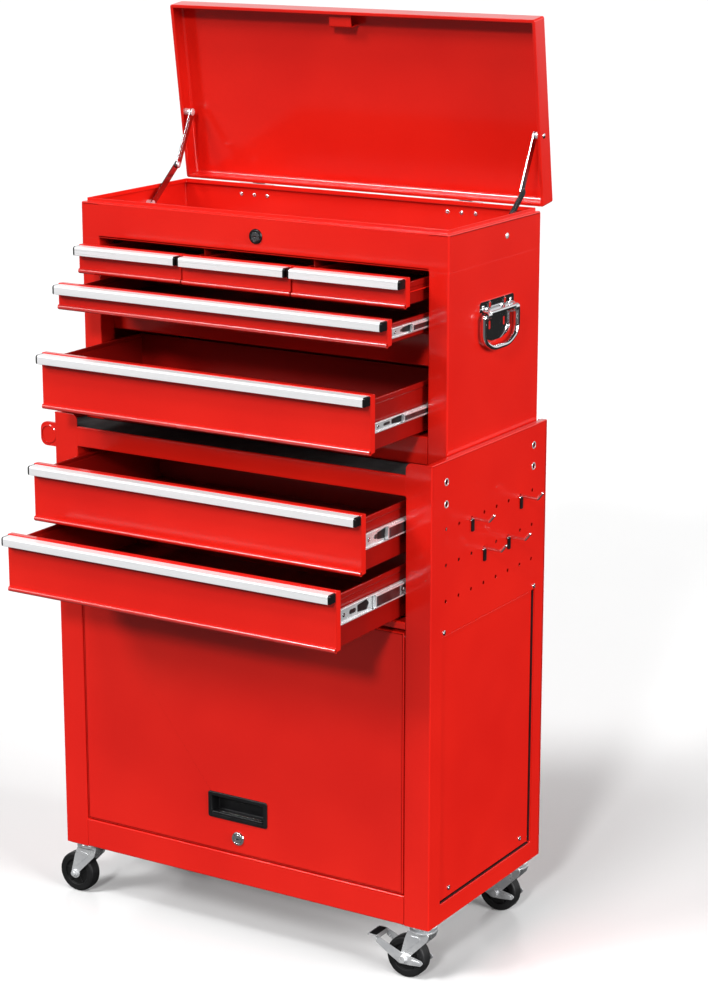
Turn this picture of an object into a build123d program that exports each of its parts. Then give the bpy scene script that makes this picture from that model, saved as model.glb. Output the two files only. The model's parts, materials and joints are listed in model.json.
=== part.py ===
from build123d import *
import os
from math import sin, cos, radians, degrees, atan2, hypot, sqrt

# Rolling tool chest: a lift-top chest with five drawers stands in the top tray
# of a cabinet with two drawers and a flip-up door, on four casters.
# Work coordinates: x from the cabinet's left side, y from its front face
# (backwards), z from its underside. Everything is shifted once at export so
# that the origin is on the floor below the middle of the cabinet, +Z up and
# the front facing -Y. Rest position: lid up, drawers part open.

# ---------------------------------------------------------------- dimensions
W = 615.0            # cabinet width
D = 321.0            # cabinet depth
HC = 86.0            # caster height, floor to cabinet underside
T = 1.0              # sheet thickness
CX = W / 2

SIDE_H = 648.6       # top of the raised side panels
STILE = 39.5         # width of the cabinet stiles
STILE_D = 30.0       # depth of the stile return
RAIL_TOP = 631.5     # front top rail
RAIL_BOT = 602.8
TOE_H = 43.0         # toe rail below the door
TRAY_Z = 628.0       # underside of the tray floor
MAT_T = 2.0

PEG_Y0, PEG_DY, PEG_NY = 39.0, 34.5, 8      # peg hole grid on both sides
PEG_Z0, PEG_DZ, PEG_NZ = 456.5, 49.5, 3
PEG_R = 2.6
BOLT_Y = (38.25, 282.75)                    # handle bolt pattern, 244.5 x 30
BOLT_Z = (589.5, 619.5)
HANDLE_R = 3.3                               # left panel: clearance holes the handle is bolted through
BOLT_R = 3.6
ACC_Y = (30.0, 294.0)                       # side access opening
ACC_Z = (26.0, 410.0)

DOOR_HW = 266.7      # door half width
DOOR_Z = (44.6, 416.5)
DOOR_T = 15.0
DOOR_AX = (7.0, 409.5)                      # door hinge axis y, z
HEAD_Z = (421.0, 431.5)                     # header rail over the door
PULL_C = (305.3, 112.5)                     # recessed door pull, centre x, z
LOCK2_C = (305.3, 68.4)                     # door lock

C_X0, C_X1 = 11.3, 603.7                    # chest box
C_Y0, C_Y1 = 59.2, 312.6
C_Z0, C_Z1 = 631.0, 940.3
C_OPEN = 266.0                              # half width of the chest opening
LIP_IN_X, LIP_IN_Y, LIP_H = 6.5, 8.5, 5.0   # upstand inside the chest's rim
LOCK_RAIL_Z = 890.7
MID_RAIL_Y = 89.6
MID_RAIL_Z = (758.0, 803.0)
BOT_RAIL_Z = 670.5
TILL_Z = 893.0
LOCK1_C = (305.3, 914.3)

LID_ANGLE = 82.0     # the lid stands this far open at rest
HINGE = (318.4, 941.0)                      # lid hinge axis y, z
LID_HW = 297.6
LID_Y = (58.0, 314.4)                       # closed lid, front and rear faces
LID_Z0, LID_H = 940.8, 29.0
HINGE_X = (134.6, 480.4)
STRIKER_X = 294.0                             # lock striker inside the lid's front skirt

STAY_A = (216.0, 919.0)                     # stay pivot on the chest
STAY_B = (314.5, 1042.0)                    # stay pivot on the open lid
STAY_E = (278.0, 969.0)                     # elbow with the lid open

# name, y of closed face, x0, x1 of face, z0, z1 of face, box inset, depth, rest opening
SIZES = [
    ("drawer_1", C_Y0, 44.5, 217.1, 848.8, 889.0, 5.0, 222.0, 50.0),
    ("drawer_2", C_Y0, 220.6, 394.4, 848.8, 889.0, 5.0, 222.0, 52.0),
    ("drawer_3", C_Y0, 397.9, 570.5, 848.8, 889.0, 5.0, 222.0, 53.0),
    ("drawer_4", C_Y0, CX - 263, CX + 263, 805.5, 842.0, 5.0, 222.0, 98.0),
    ("drawer_5", C_Y0, CX - 263, CX + 263, 673.5, 752.0, 5.0, 222.0, 139.0),
    ("drawer_6", 0.0, CX - 264, CX + 264, 519.5, 601.0, 5.5, 284.0, 103.5),
    ("drawer_7", 0.0, CX - 264, CX + 264, 433.5, 514.5, 5.5, 284.0, 164.5),
]
SLIDE_Z = {"drawer_4": 822.0, "drawer_5": 706.5, "drawer_6": 562.5, "drawer_7": 477.5}
FIN_Z = 868.0        # runner fin of the three small drawers
FACE_T = 10.0        # the drawer front is a hollow fold this deep
PULL_P, PULL_H = 15.0, 12.5                 # pull projection and height
LIP_R = 3.5          # rolled lower edge of a drawer front

WHEEL_R, WHEEL_W, TRAIL = 30.0, 20.0, 23.0
CASTER_X = (24.0, 591.0)
CASTER_Y = (28.0, 292.0)

HANDLE_Y, HANDLE_Z = 187.5, 822.0           # chest side handle pivot line
HANDLE_AX = 6.4      # pivot axis out from the chest side

os.makedirs("parts", exist_ok=True)
SHIFT = Location((-W / 2, -D / 2, HC))


# ------------------------------------------------------------------- helpers
def bx(x0, x1, y0, y1, z0, z1):
    return Pos((x0 + x1) / 2, (y0 + y1) / 2, (z0 + z1) / 2) * Box(x1 - x0, y1 - y0, z1 - z0)


def cylx(x0, x1, y, z, r):
    return Pos((x0 + x1) / 2, y, z) * Rot(0, 90, 0) * Cylinder(r, x1 - x0)


def cyly(x, y0, y1, z, r):
    return Pos(x, (y0 + y1) / 2, z) * Rot(90, 0, 0) * Cylinder(r, y1 - y0)


def cylz(x, y, z0, z1, r):
    return Pos(x, y, (z0 + z1) / 2) * Cylinder(r, z1 - z0)


def rod(p, q, r):
    # round bar from p to q
    d = Vector(*q) - Vector(*p)
    pl = Plane(origin=Vector(*p), z_dir=d)
    return extrude(pl * Circle(r), d.length)


def ball(p, r):
    return Pos(*p) * Sphere(r)


def join(*parts):
    out = parts[0]
    for p in parts[1:]:
        out = out + p
    return out


def poly_x(pts, x0, x1):
    # closed outline in (y, z), extruded along x
    f = make_face(Polyline(*[(x0, y, z) for y, z in pts], close=True))
    return extrude(f, x1 - x0, dir=(1, 0, 0))


def poly_y(pts, y0, y1):
    # closed outline in (x, z), extruded along y
    f = make_face(Polyline(*[(x, y0, z) for x, z in pts], close=True))
    return extrude(f, y1 - y0, dir=(0, 1, 0))


def mirror_x(s):
    return mirror(s, about=Plane(origin=(CX, 0, 0), z_dir=(1, 0, 0)))


def solids_of(s):
    return list(s.solids())


def save(name, *shapes):
    sol = []
    for s in shapes:
        sol += solids_of(s)
    sol = [s.moved(SHIFT) for s in sol]
    obj = sol[0] if len(sol) == 1 else Compound(children=sol)
    export_step(obj, "parts/%s.step" % name)


# -------------------------------------------------------------- side panels
def side_panel(bolt_r):
    # left hand panel: skin, stile face with its return, hems on the other edges
    skin = bx(0, T, 0, D, 0, SIDE_H)
    skin -= bx(-1, T + 1, ACC_Y[0], ACC_Y[1], ACC_Z[0], ACC_Z[1])
    for i in range(PEG_NY):
        for k in range(PEG_NZ):
            skin -= cylx(-1, T + 1, PEG_Y0 + i * PEG_DY, PEG_Z0 + k * PEG_DZ, PEG_R)
    for y in BOLT_Y:
        for z in BOLT_Z:
            skin -= cylx(-1, T + 1, y, z, bolt_r)
    r = 9.0
    stile = bx(0, STILE, 0, T, 0, SIDE_H)
    corner = bx(STILE - r, STILE + 1, -1, T + 1, SIDE_H - r, SIDE_H + 1)
    corner -= cyly(STILE - r, -2, T + 2, SIDE_H - r, r)
    stile -= corner
    # the return stops short of the floor, so the compartment floor is clear
    ret = bx(STILE - T, STILE, 0, STILE_D, 5.0, 602.4)
    ret -= cylx(STILE - T - 1, STILE + 1, DOOR_AX[0], DOOR_AX[1], 3.1)
    top = bx(0, 9, 0, D, SIDE_H - T, SIDE_H)
    back = bx(0, 14, D - T, D, 0, SIDE_H)
    bot = bx(0, 14, 0, D, 0, T)
    return join(skin, stile, ret, top, back, bot)


left = side_panel(HANDLE_R)
right = mirror_x(side_panel(BOLT_R))
save("side_panel_left", left)
save("side_panel_right", right)

# cabinet back, base with toe rail, tray top with front rail, header rail
save("cabinet_back", bx(T, W - T, D - 2 * T, D - T, 2 * T, TRAY_Z))
base = join(
    bx(T, W - T, T, D - 2 * T, T, 2 * T),
    bx(STILE, W - STILE, 0, T, 0, TOE_H),
    bx(STILE, W - STILE, 0, 14, TOE_H - T, TOE_H),
    bx(STILE, W - STILE, 0, 2, T, 2 * T),
)
for x in CASTER_X:
    for y in CASTER_Y:
        for dx in (-15, 15):
            for dy in (-18, 18):
                base -= cylz(x + dx, y + dy, 0.5, 2.5, 3.0)
save("cabinet_base", base)
tray = join(
    bx(T, W - T, T, D - T, TRAY_Z, TRAY_Z + T),
    bx(STILE, W - STILE, 0, T, RAIL_BOT, RAIL_TOP),
    bx(STILE, W - STILE, 0, STILE_D, RAIL_BOT, RAIL_BOT + T),
)
save("cabinet_top_tray", tray)
save("tray_mat", bx(2, W - 2, 2.5, D - 3, TRAY_Z + T, TRAY_Z + T + MAT_T))
head = join(
    bx(STILE, W - STILE, 0, T, HEAD_Z[0], HEAD_Z[1]),
    bx(STILE, W - STILE, 0, 22, HEAD_Z[1] - T, HEAD_Z[1]),
    bx(STILE, W - STILE, 21, 22, HEAD_Z[0], HEAD_Z[1]),
)
save("door_header_rail", head)


def access_panel():
    # recessed cover behind the side opening, lapped inside it all round
    y0, y1, z0, z1 = ACC_Y[0], ACC_Y[1], ACC_Z[0], ACC_Z[1]
    lap = 6.0
    flange = bx(T, 2 * T, y0 - lap, y1 + lap, z0 - lap, z1 + lap) - bx(0, 3, y0 + T, y1 - T, z0 + T, z1 - T)
    wall = bx(T, 5, y0, y1, z0, z1) - bx(0, 6, y0 + T, y1 - T, z0 + T, z1 - T)
    plate = bx(4, 5, y0, y1, z0, z1)
    return join(flange, wall, plate)


acc = access_panel()
save("access_panels", acc, mirror_x(acc))

# ---------------------------------------------------------------------- door
dx0, dx1 = CX - DOOR_HW, CX + DOOR_HW
dz0, dz1 = DOOR_Z
door = join(
    bx(dx0, dx1, 0, T, dz0, dz1),
    bx(dx0, dx1, 0, DOOR_T, dz0, dz0 + T),
    bx(dx0, dx1, 0, DOOR_T, dz1 - T, dz1),
    bx(dx0, dx0 + T, 0, DOOR_T, dz0, dz1),
    bx(dx1 - T, dx1, 0, DOOR_T, dz0, dz1),
    bx(dx0, dx0 + 14, DOOR_T - T, DOOR_T, dz0, dz1),
    bx(dx1 - 14, dx1, DOOR_T - T, DOOR_T, dz0, dz1),
    bx(dx0, dx1, DOOR_T - T, DOOR_T, dz0, dz0 + 14),
)
door -= bx(PULL_C[0] - 46, PULL_C[0] + 46, -1, T + 0.5, PULL_C[1] - 16, PULL_C[1] + 16)
door -= cyly(LOCK2_C[0], -1, 3, LOCK2_C[1], 8.6)
# stub pins that turn in the stile returns
door += cylx(STILE - 5, dx0 + T, DOOR_AX[0], DOOR_AX[1], 3.0)
door += cylx(dx1 - T, W - STILE + 5, DOOR_AX[0], DOOR_AX[1], 3.0)
save("door", door)

px, pz = PULL_C
bezel = bx(px - 49.5, px + 49.5, -2.6, 0, pz - 19.3, pz + 19.3)
bezel = fillet(bezel.edges().filter_by(Axis.Y), 3.5)
bezel -= bx(px - 43, px + 43, -4, 1, pz - 13, pz + 13)
cup = bx(px - 45.4, px + 45.4, -1, 17, pz - 15.4, pz + 15.4) - bx(px - 43.4, px + 43.4, -4, 15.2, pz - 13.4, pz + 13.4)
lipbar = bx(px - 43.4, px + 43.4, -2.4, 6.0, pz - 13.6, pz - 9.5)
save("door_pull", join(bezel, cup, lipbar))


def lock_barrel(cx, cz, y0):
    # flanged barrel from the panel face backwards, bored for its plug
    b = join(cyly(cx, y0 - 2.6, y0, cz, 10.4), cyly(cx, y0 - 0.1, y0 + 20, cz, 8.5))
    nut = extrude(Plane(origin=(cx, y0 + T, cz), z_dir=(0, 1, 0)) * RegularPolygon(12.0, 6), 4.0)
    b = b + nut
    b -= cyly(cx, y0 - 4, y0 + 22, cz, 6.58)
    return b


def lock_plug(cx, cz, y0, reach):
    p = cyly(cx, y0 - 2.9, y0 + 21.5, cz, 6.5)
    p -= bx(cx - 4.0, cx + 4.0, y0 - 4, y0 + 6, cz - 0.7, cz + 0.7)
    cam = bx(cx, cx + reach, y0 + 20.4, y0 + 21.9, cz - 6, cz + 6)
    return p + cam


save("door_lock_barrel", lock_barrel(LOCK2_C[0], LOCK2_C[1], 0.0))
save("door_lock_plug", lock_plug(LOCK2_C[0], LOCK2_C[1], 0.0, 32.0))
save("chest_lock_barrel", lock_barrel(LOCK1_C[0], LOCK1_C[1], C_Y0))
save("chest_lock_plug", lock_plug(LOCK1_C[0], LOCK1_C[1], C_Y0, 24.0))

# --------------------------------------------------------------------- chest
sx = C_X0
half = join(
    bx(sx, sx + T, C_Y0, C_Y1, C_Z0, C_Z1),
    bx(sx, CX - C_OPEN, C_Y0, C_Y0 + T, C_Z0, C_Z1),
    bx(CX - C_OPEN - T, CX - C_OPEN, C_Y0, C_Y0 + STILE_D, C_Z0, 890.0),
    bx(sx, sx + LIP_IN_X, C_Y0, C_Y1, C_Z1 - T, C_Z1),
    bx(sx + LIP_IN_X - T, sx + LIP_IN_X, C_Y0 + LIP_IN_Y - T, C_Y1 - LIP_IN_X + T, C_Z1 - T, C_Z1 + LIP_H),
)
shell = join(
    half, mirror_x(half),
    bx(sx, C_X1, C_Y1 - T, C_Y1, C_Z0, C_Z1),
    bx(sx, C_X1, C_Y0, C_Y1, C_Z0, C_Z0 + T),
    bx(sx, C_X1, C_Y1 - LIP_IN_X, C_Y1, C_Z1 - T, C_Z1),
    bx(sx + LIP_IN_X - T, C_X1 - LIP_IN_X + T, C_Y1 - LIP_IN_X, C_Y1 - LIP_IN_X + T, C_Z1 - T, C_Z1 + LIP_H),
    bx(sx, C_X1, C_Y0, C_Y0 + LIP_IN_Y, C_Z1 - T, C_Z1),
    bx(sx + LIP_IN_X - T, C_X1 - LIP_IN_X + T, C_Y0 + LIP_IN_Y - T, C_Y0 + LIP_IN_Y, C_Z1 - T, C_Z1 + LIP_H),
)
save("chest_shell", shell)

ox0, ox1 = CX - C_OPEN, CX + C_OPEN
lock_rail = join(
    bx(ox0, ox1, C_Y0, C_Y0 + T, LOCK_RAIL_Z, C_Z1 - T),
    bx(ox0, ox1, C_Y0, C_Y0 + 20, LOCK_RAIL_Z, LOCK_RAIL_Z + T),
) - cyly(LOCK1_C[0], C_Y0 - 1, C_Y0 + 3, LOCK1_C[1], 8.6)
bot_rail = join(
    bx(ox0, ox1, C_Y0, C_Y0 + T, C_Z0 + T, BOT_RAIL_Z),
    bx(ox0, ox1, C_Y0, C_Y0 + 25, BOT_RAIL_Z - T, BOT_RAIL_Z),
)
mid_rail = join(
    bx(C_X0 + T, C_X1 - T, MID_RAIL_Y, MID_RAIL_Y + T, *MID_RAIL_Z),
    bx(C_X0 + T, C_X1 - T, MID_RAIL_Y, MID_RAIL_Y + 14, MID_RAIL_Z[0], MID_RAIL_Z[0] + T),
    bx(C_X0 + T, C_X1 - T, MID_RAIL_Y, MID_RAIL_Y + 14, MID_RAIL_Z[1] - T, MID_RAIL_Z[1]),
)
save("chest_front_rails", lock_rail, bot_rail, mid_rail)

# floor of the top till with the two drawer partitions and the small runners
PX = (218.85, 396.15)
till = bx(C_X0 + T, C_X1 - T, C_Y0 + T, C_Y1 - T, TILL_Z, TILL_Z + T)
for x in PX:
    till += bx(x - 0.5, x + 0.5, C_Y0 + 3.5, 300, 846.5, TILL_Z)
    till -= bx(x - 1, x + 1, C_Y0, C_Y0 + 20.3, LOCK_RAIL_Z - 0.3, LOCK_RAIL_Z + T + 0.3)


def runner(x0, x1):
    # two flanges that hold a drawer's fin between them
    return join(bx(x0, x1, 92, 300, FIN_Z + 1.9, FIN_Z + 2.9), bx(x0, x1, 92, 300, FIN_Z - 1.4, FIN_Z - 0.4))


fx = [(s[2] + s[6], s[3] - s[6]) for s in SIZES[:3]]
till = join(
    till,
    runner(fx[0][1] + 0.5, PX[0] - 0.5), runner(PX[0] + 0.5, fx[1][0] - 0.5),
    runner(fx[1][1] + 0.5, PX[1] - 0.5), runner(PX[1] + 0.5, fx[2][0] - 0.5),
    runner(43.0, fx[0][0] - 0.5), bx(42.0, 43.0, 92, 300, FIN_Z - 1.4, TILL_Z),
    runner(fx[2][1] + 0.5, 572.0), bx(572.0, 573.0, 92, 300, FIN_Z - 1.4, TILL_Z),
)
save("chest_till_floor", till)

# ------------------------------------------------------------------- drawers
# distances from the centre line, slide half heights
UP = dict(box=258.0, i1=262.2, m0=259.6, m1=264.7, o0=262.7, o1=266.4, ow=265.2, h=7.0, f=1.1, side=CX - C_X0 - T, y0=92.0, y1=300.0)
LO = dict(box=258.5, i1=263.2, m0=260.2, m1=266.2, o0=263.7, o1=268.0, ow=266.8, h=11.0, f=1.4, side=CX - T, y0=33.0, y1=312.0)


def both(s):
    return [s, mirror_x(s)]


def drawer(name, yf, x0, x1, z0, z1, inset, depth, rest):
    y = yf
    b0, b1 = x0 + inset, x1 - inset
    wall_top = z1 - 8.0
    s = join(
        bx(x0, x1, y, y + T, z0 + LIP_R, z1),
        bx(x0, x1, y, y + FACE_T, z1 - T, z1),
        bx(x0, x0 + T, y, y + FACE_T, z0 + 2, z1),
        bx(x1 - T, x1, y, y + FACE_T, z0 + 2, z1),
        bx(x0, x1, y, y + FACE_T + T, z0 + 2, z0 + 3),
        bx(b0, b1, y + FACE_T, y + FACE_T + T, z0 + 2, z1),
        bx(b0, b1, y + FACE_T, y + depth, z0 + 2, z0 + 3),
        bx(b0, b0 + T, y + FACE_T, y + depth, z0 + 2, wall_top),
        bx(b1 - T, b1, y + FACE_T, y + depth, z0 + 2, wall_top),
        bx(b0, b1, y + depth - T, y + depth, z0 + 2, wall_top),
        # rolled lower edge of the front
        cylx(x0, x1, y - 0.5, z0 + LIP_R, LIP_R),
    )
    if name in ("drawer_1", "drawer_2", "drawer_3"):
        s = join(s, bx(b0 - 3, b0, y + 12, y + depth, FIN_Z, FIN_Z + 1.5),
                 bx(b1, b1 + 3, y + 12, y + depth, FIN_Z, FIN_Z + 1.5))
    sh = Pos(0, -rest, 0)
    save(name + "_box", sh * s)

    # pull: downward open hook profile with a moulded cap on each end
    zt = z1 - 1.0
    a0, a1 = x0 + 0.5, x1 - 0.5
    prof = [(y, zt), (y - PULL_P + 1.5, zt), (y - PULL_P, zt - 1.5), (y - PULL_P, zt - PULL_H),
            (y - PULL_P + 2, zt - PULL_H), (y - PULL_P + 2, zt - 2.2), (y - 1.6, zt - 2.2),
            (y - 1.6, zt - PULL_H), (y, zt - PULL_H)]
    bar = poly_x(prof, a0 + 3, a1 - 3)
    full = [(y, zt), (y - PULL_P + 1.5, zt), (y - PULL_P, zt - 1.5), (y - PULL_P, zt - PULL_H), (y, zt - PULL_H)]
    cap1, cap2 = poly_x(full, a0, a0 + 3), poly_x(full, a1 - 3, a1)
    save(name + "_pull", sh * bar, sh * cap1, sh * cap2)

    if name in SLIDE_Z:
        g = UP if y > 0 else LO
        zc = SLIDE_Z[name]
        h, f = g["h"], g["f"]
        L = CX - g["box"]
        inner = join(
            bx(L - 1.1, L, y + 12, y + depth, zc - h, zc + h),
            bx(CX - g["i1"], L, y + 12, y + depth, zc + h - f, zc + h),
            bx(CX - g["i1"], L, y + 12, y + depth, zc - h, zc - h + f),
        )
        save(name + "_slide_inner", *both(sh * inner))
        hm = h - f - 0.5
        mid = bx(CX - g["m1"], CX - g["m0"], y + 12, y + depth - 6, zc - hm, zc + hm)
        mid -= bx(CX - g["m1"] - 1, CX - g["m0"] - 1.4, y + 30, y + depth - 20, zc - hm + 1.4, zc + hm - 1.4)
        save(name + "_slide_middle", *both(Pos(0, -rest / 2, 0) * mid))


for s in SIZES:
    drawer(*s)

rails = []
for name, zc in SLIDE_Z.items():
    g = UP if zc > 640 else LO
    h, f = g["h"], g["f"]
    r = join(
        bx(CX - g["o1"], CX - g["ow"], g["y0"], g["y1"], zc - h, zc + h),
        bx(CX - g["o1"], CX - g["o0"], g["y0"], g["y1"], zc + h - f, zc + h),
        bx(CX - g["o1"], CX - g["o0"], g["y0"], g["y1"], zc - h, zc - h + f),
        bx(CX - g["side"], CX - g["o1"], g["y0"] + 8, g["y0"] + 10, zc - h, zc + h),
        bx(CX - g["side"], CX - g["o1"], g["y1"] - 14, g["y1"] - 12, zc - h, zc + h),
    )
    rails += both(r)
save("slide_outer_rails", *rails)

# ----------------------------------------------------------------------- lid
def open_lid(s):
    # the lid is drawn closed and then swung up about its hinge line
    ax = Axis((0, HINGE[0], HINGE[1]), (1, 0, 0))
    return s.rotate(ax, -LID_ANGLE)


def to_closed(p):
    a = radians(LID_ANGLE)
    y, z = p[0] - HINGE[0], p[1] - HINGE[1]
    return (HINGE[0] + y * cos(a) - z * sin(a), HINGE[1] + y * sin(a) + z * cos(a))


BC = to_closed(STAY_B)
lx0, lx1 = CX - LID_HW, CX + LID_HW
lz1 = LID_Z0 + LID_H
lid = bx(lx0, lx1, LID_Y[0], LID_Y[1], LID_Z0, lz1)
lid = fillet(lid.edges().filter_by(Axis.Z) + lid.edges().group_by(Axis.Z)[-1], 2.4)
lid -= bx(lx0 + T, lx1 - T, LID_Y[0] + T, LID_Y[1] - T, LID_Z0 - 1, lz1 - T)
hem = bx(lx0 + 1.5, lx1 - 1.5, LID_Y[0] + 0.5, LID_Y[1] - 0.5, LID_Z0, LID_Z0 + T)
hem -= bx(lx0 + 4.6, lx1 - 4.6, LID_Y[0] + 4.6, LID_Y[1] - 4.6, LID_Z0 - 1, LID_Z0 + 2)
lid = lid + hem
# striker for the lock on the front skirt and the two stay bosses
lid += join(bx(STRIKER_X - 18, STRIKER_X + 18, LID_Y[0] + T, LID_Y[0] + 24, lz1 - 21.5, lz1 - 20),
            bx(STRIKER_X - 18, STRIKER_X + 18, LID_Y[0] + 22.5, LID_Y[0] + 24, lz1 - 21.5, lz1 - 0.5))
PIN_R = 3.0
boss = join(cylx(lx0 + 0.5, 22.1, BC[0], BC[1], 5.0), cylx(22.0, 25.4, BC[0], BC[1], PIN_R),
            cylx(24.4, 26.0, BC[0], BC[1], 5.5))
lid = join(lid, boss, mirror_x(boss))
save("lid", open_lid(lid))

# hinges: the fixed leaf carries two knuckles and the pin, the moving leaf one
fixed, moving = [], []
hy, hz = HINGE
for x in HINGE_X:
    leaf = bx(x - 30, x + 30, C_Y1, C_Y1 + 1.2, 914, 935)
    web = poly_x([(C_Y1, 933.8), (C_Y1, 935), (C_Y1 + 1.2, 935.4), (hy - 1.5, hz - 1.8), (hy, hz - 3.0), (C_Y1 + 1.9, 933.8)], x - 30, x + 30)
    web -= bx(x - 10.3, x + 10.3, C_Y1 + 2.6, hy + 5, 930, 950)
    kn = cylx(x - 30, x - 10.3, hy, hz, 3.2) + cylx(x + 10.3, x + 30, hy, hz, 3.2)
    fixed.append(join(leaf, web, kn, cylx(x - 30, x + 30, hy, hz, 1.6)))
    m = bx(x - 30, x + 30, LID_Y[1], LID_Y[1] + 1.2, 947.5, 967)
    mw = poly_x([(LID_Y[1], 947.5), (LID_Y[1], 949), (LID_Y[1] + 1.2, 949.5), (hy + 1.0, hz + 3.0), (hy - 2.4, hz + 1.5)], x - 10, x + 10)
    m = join(m, mw, cylx(x - 10, x + 10, hy, hz, 3.2)) - cylx(x - 11, x + 11, hy, hz, 1.68)
    moving.append(open_lid(m))
save("lid_hinge_fixed_leaves", *fixed)
save("lid_hinge_moving_leaves", *moving)


def strap(p, q, x0, x1, w):
    # flat bar with round ends between two pivots
    d = (q[0] - p[0], q[1] - p[1])
    L = hypot(*d)
    n = (-d[1] / L * w, d[0] / L * w)
    body = poly_x([(p[0] + n[0], p[1] + n[1]), (q[0] + n[0], q[1] + n[1]), (q[0] - n[0], q[1] - n[1]), (p[0] - n[0], p[1] - n[1])], x0, x1)
    return join(body, cylx(x0, x1, p[0], p[1], w), cylx(x0, x1, q[0], q[1], w))


LOWER_X, UPPER_X = (20.0, 21.5), (22.5, 24.0)
low = strap(STAY_A, STAY_E, *LOWER_X, 5.5) - cylx(19, 23, STAY_A[0], STAY_A[1], PIN_R + 0.08)
upp = strap(STAY_B, STAY_E, *UPPER_X, 5.5)
upp = join(upp, cylx(22.0, 22.6, *STAY_E, 5.0), cylx(23.9, 25.6, *STAY_E, 4.2)) - cylx(21, 25, *STAY_B, PIN_R + 0.08)
save("lid_stay_lower_links", low, mirror_x(low))
save("lid_stay_upper_links", upp, mirror_x(upp))

# --------------------------------------------------- chest side handles
hy0, hz0 = HANDLE_Y, HANDLE_Z
PLATE = [(-47.5, 17.5), (47.5, 17.5), (47.5, 6), (41, -2), (41, -24), (33, -33), (12, -38.5), (-12, -38.5), (-33, -33), (-41, -24), (-41, -2), (-47.5, 6)]
hx = C_X1
plate = poly_x([(hy0 + a, hz0 + b) for a, b in PLATE], hx, hx + 1.5)
ax_x = hx + HANDLE_AX + 1.5
for s in (-1, 1):
    lug = join(bx(hx + 1.4, ax_x, min(hy0 + s * 34, hy0 + s * 43), max(hy0 + s * 34, hy0 + s * 43), hz0 - 5, hz0 + 5),
               cyly(ax_x, min(hy0 + s * 34, hy0 + s * 43), max(hy0 + s * 34, hy0 + s * 43), hz0, 5.0))
    plate += lug
for s in (-1, 1):
    plate -= cyly(ax_x, hy0 + s * 38.5 - 6, hy0 + s * 38.5 + 6, hz0, 3.08)
save("side_handle_plates", plate, mirror_x(plate))
HB = 49.0            # half spacing of the bail legs
bail = rod((ax_x, hy0 - HB, hz0), (ax_x, hy0 - HB, hz0 - 38), 3.6)
bail = join(
    bail, rod((ax_x, hy0 + HB, hz0), (ax_x, hy0 + HB, hz0 - 38), 3.6),
    rod((ax_x, hy0 - HB, hz0 - 38), (ax_x, hy0 - HB + 9, hz0 - 47), 3.6),
    rod((ax_x, hy0 + HB, hz0 - 38), (ax_x, hy0 + HB - 9, hz0 - 47), 3.6),
    rod((ax_x, hy0 - HB + 9, hz0 - 47), (ax_x, hy0 + HB - 9, hz0 - 47), 3.6),
    ball((ax_x, hy0 - HB, hz0 - 38), 3.6), ball((ax_x, hy0 + HB, hz0 - 38), 3.6),
    ball((ax_x, hy0 - HB + 9, hz0 - 47), 3.6), ball((ax_x, hy0 + HB - 9, hz0 - 47), 3.6),
    ball((ax_x, hy0 - HB, hz0), 3.6), ball((ax_x, hy0 + HB, hz0), 3.6),
    rod((ax_x, hy0 - HB, hz0), (ax_x, hy0 - 36, hz0), 3.0), rod((ax_x, hy0 + HB, hz0), (ax_x, hy0 + 36, hz0), 3.0),
)
save("side_handle_bail_right", bail)
save("side_handle_bail_left", mirror_x(bail))

# ------------------------------------------------ push handle, left side
ZM = sum(BOLT_Z) / 2
arms = []
for i, y in enumerate(BOLT_Y):
    foot = bx(-2.5, 0, y - 9, y + 9, ZM - 25, ZM + 25)
    arm = bx(-54, 0, y - 3, y + 3, ZM - 17.5, ZM + 17.5)
    arm = fillet(arm.edges().filter_by(Axis.Y).group_by(Axis.X)[0], 11.0)
    for z in BOLT_Z:
        foot -= cylx(-4, 1, y, z, 3.3)
    foot = join(foot, arm)
    foot -= join(*[cylx(-16, -2.5, y, z, 6.5) for z in BOLT_Z])
    foot -= join(*[cylx(-4, 1, y, z, 3.3) for z in BOLT_Z])
    arms.append(foot)
grip = cyly(-39.0, BOLT_Y[0] + 2.9, BOLT_Y[1] - 2.9, ZM, 12.0)
save("push_handle", join(arms[0], arms[1], grip))

# ------------------------------------------------------------- peg hooks
hooks = []
for col, row in ((2, 2), (6, 2), (5, 1), (3, 1)):
    y = PEG_Y0 + col * PEG_DY
    z = PEG_Z0 + row * PEG_DZ
    r = 1.6
    p = [(W - 8.0, y, z + 5.0), (W - 5.0, y, z), (W + 26.0, y, z - 2.0), (W + 33.0, y, z + 7.0)]
    wire = FilletPolyline(*p, radius=3.2)
    h = sweep(Plane(origin=wire @ 0, z_dir=wire % 0) * Circle(r), path=wire)
    # short leg that stops the hook from dropping, resting against the panel
    hooks.append(h + rod((W + 3.0, y, z - 0.4), (W + 3.0, y, z - 18.0), 1.35))
save("peg_hooks", *hooks)

# --------------------------------------------------------------- casters
AXZ = -(HC - WHEEL_R)                       # wheel centre height


def leg_outline(x):
    # tapered fork cheek in (x, z) about a mount at x
    w = x - TRAIL
    pts = [(x - 17, -13), (x + 17, -13), (x + 14, -24)]
    for a in range(0, 181, 20):
        pts.append((w + 7.5 * cos(radians(-a + 20)), AXZ + 7.5 * sin(radians(-a + 20))))
    pts.append((x - 21, -27))
    return pts


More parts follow.
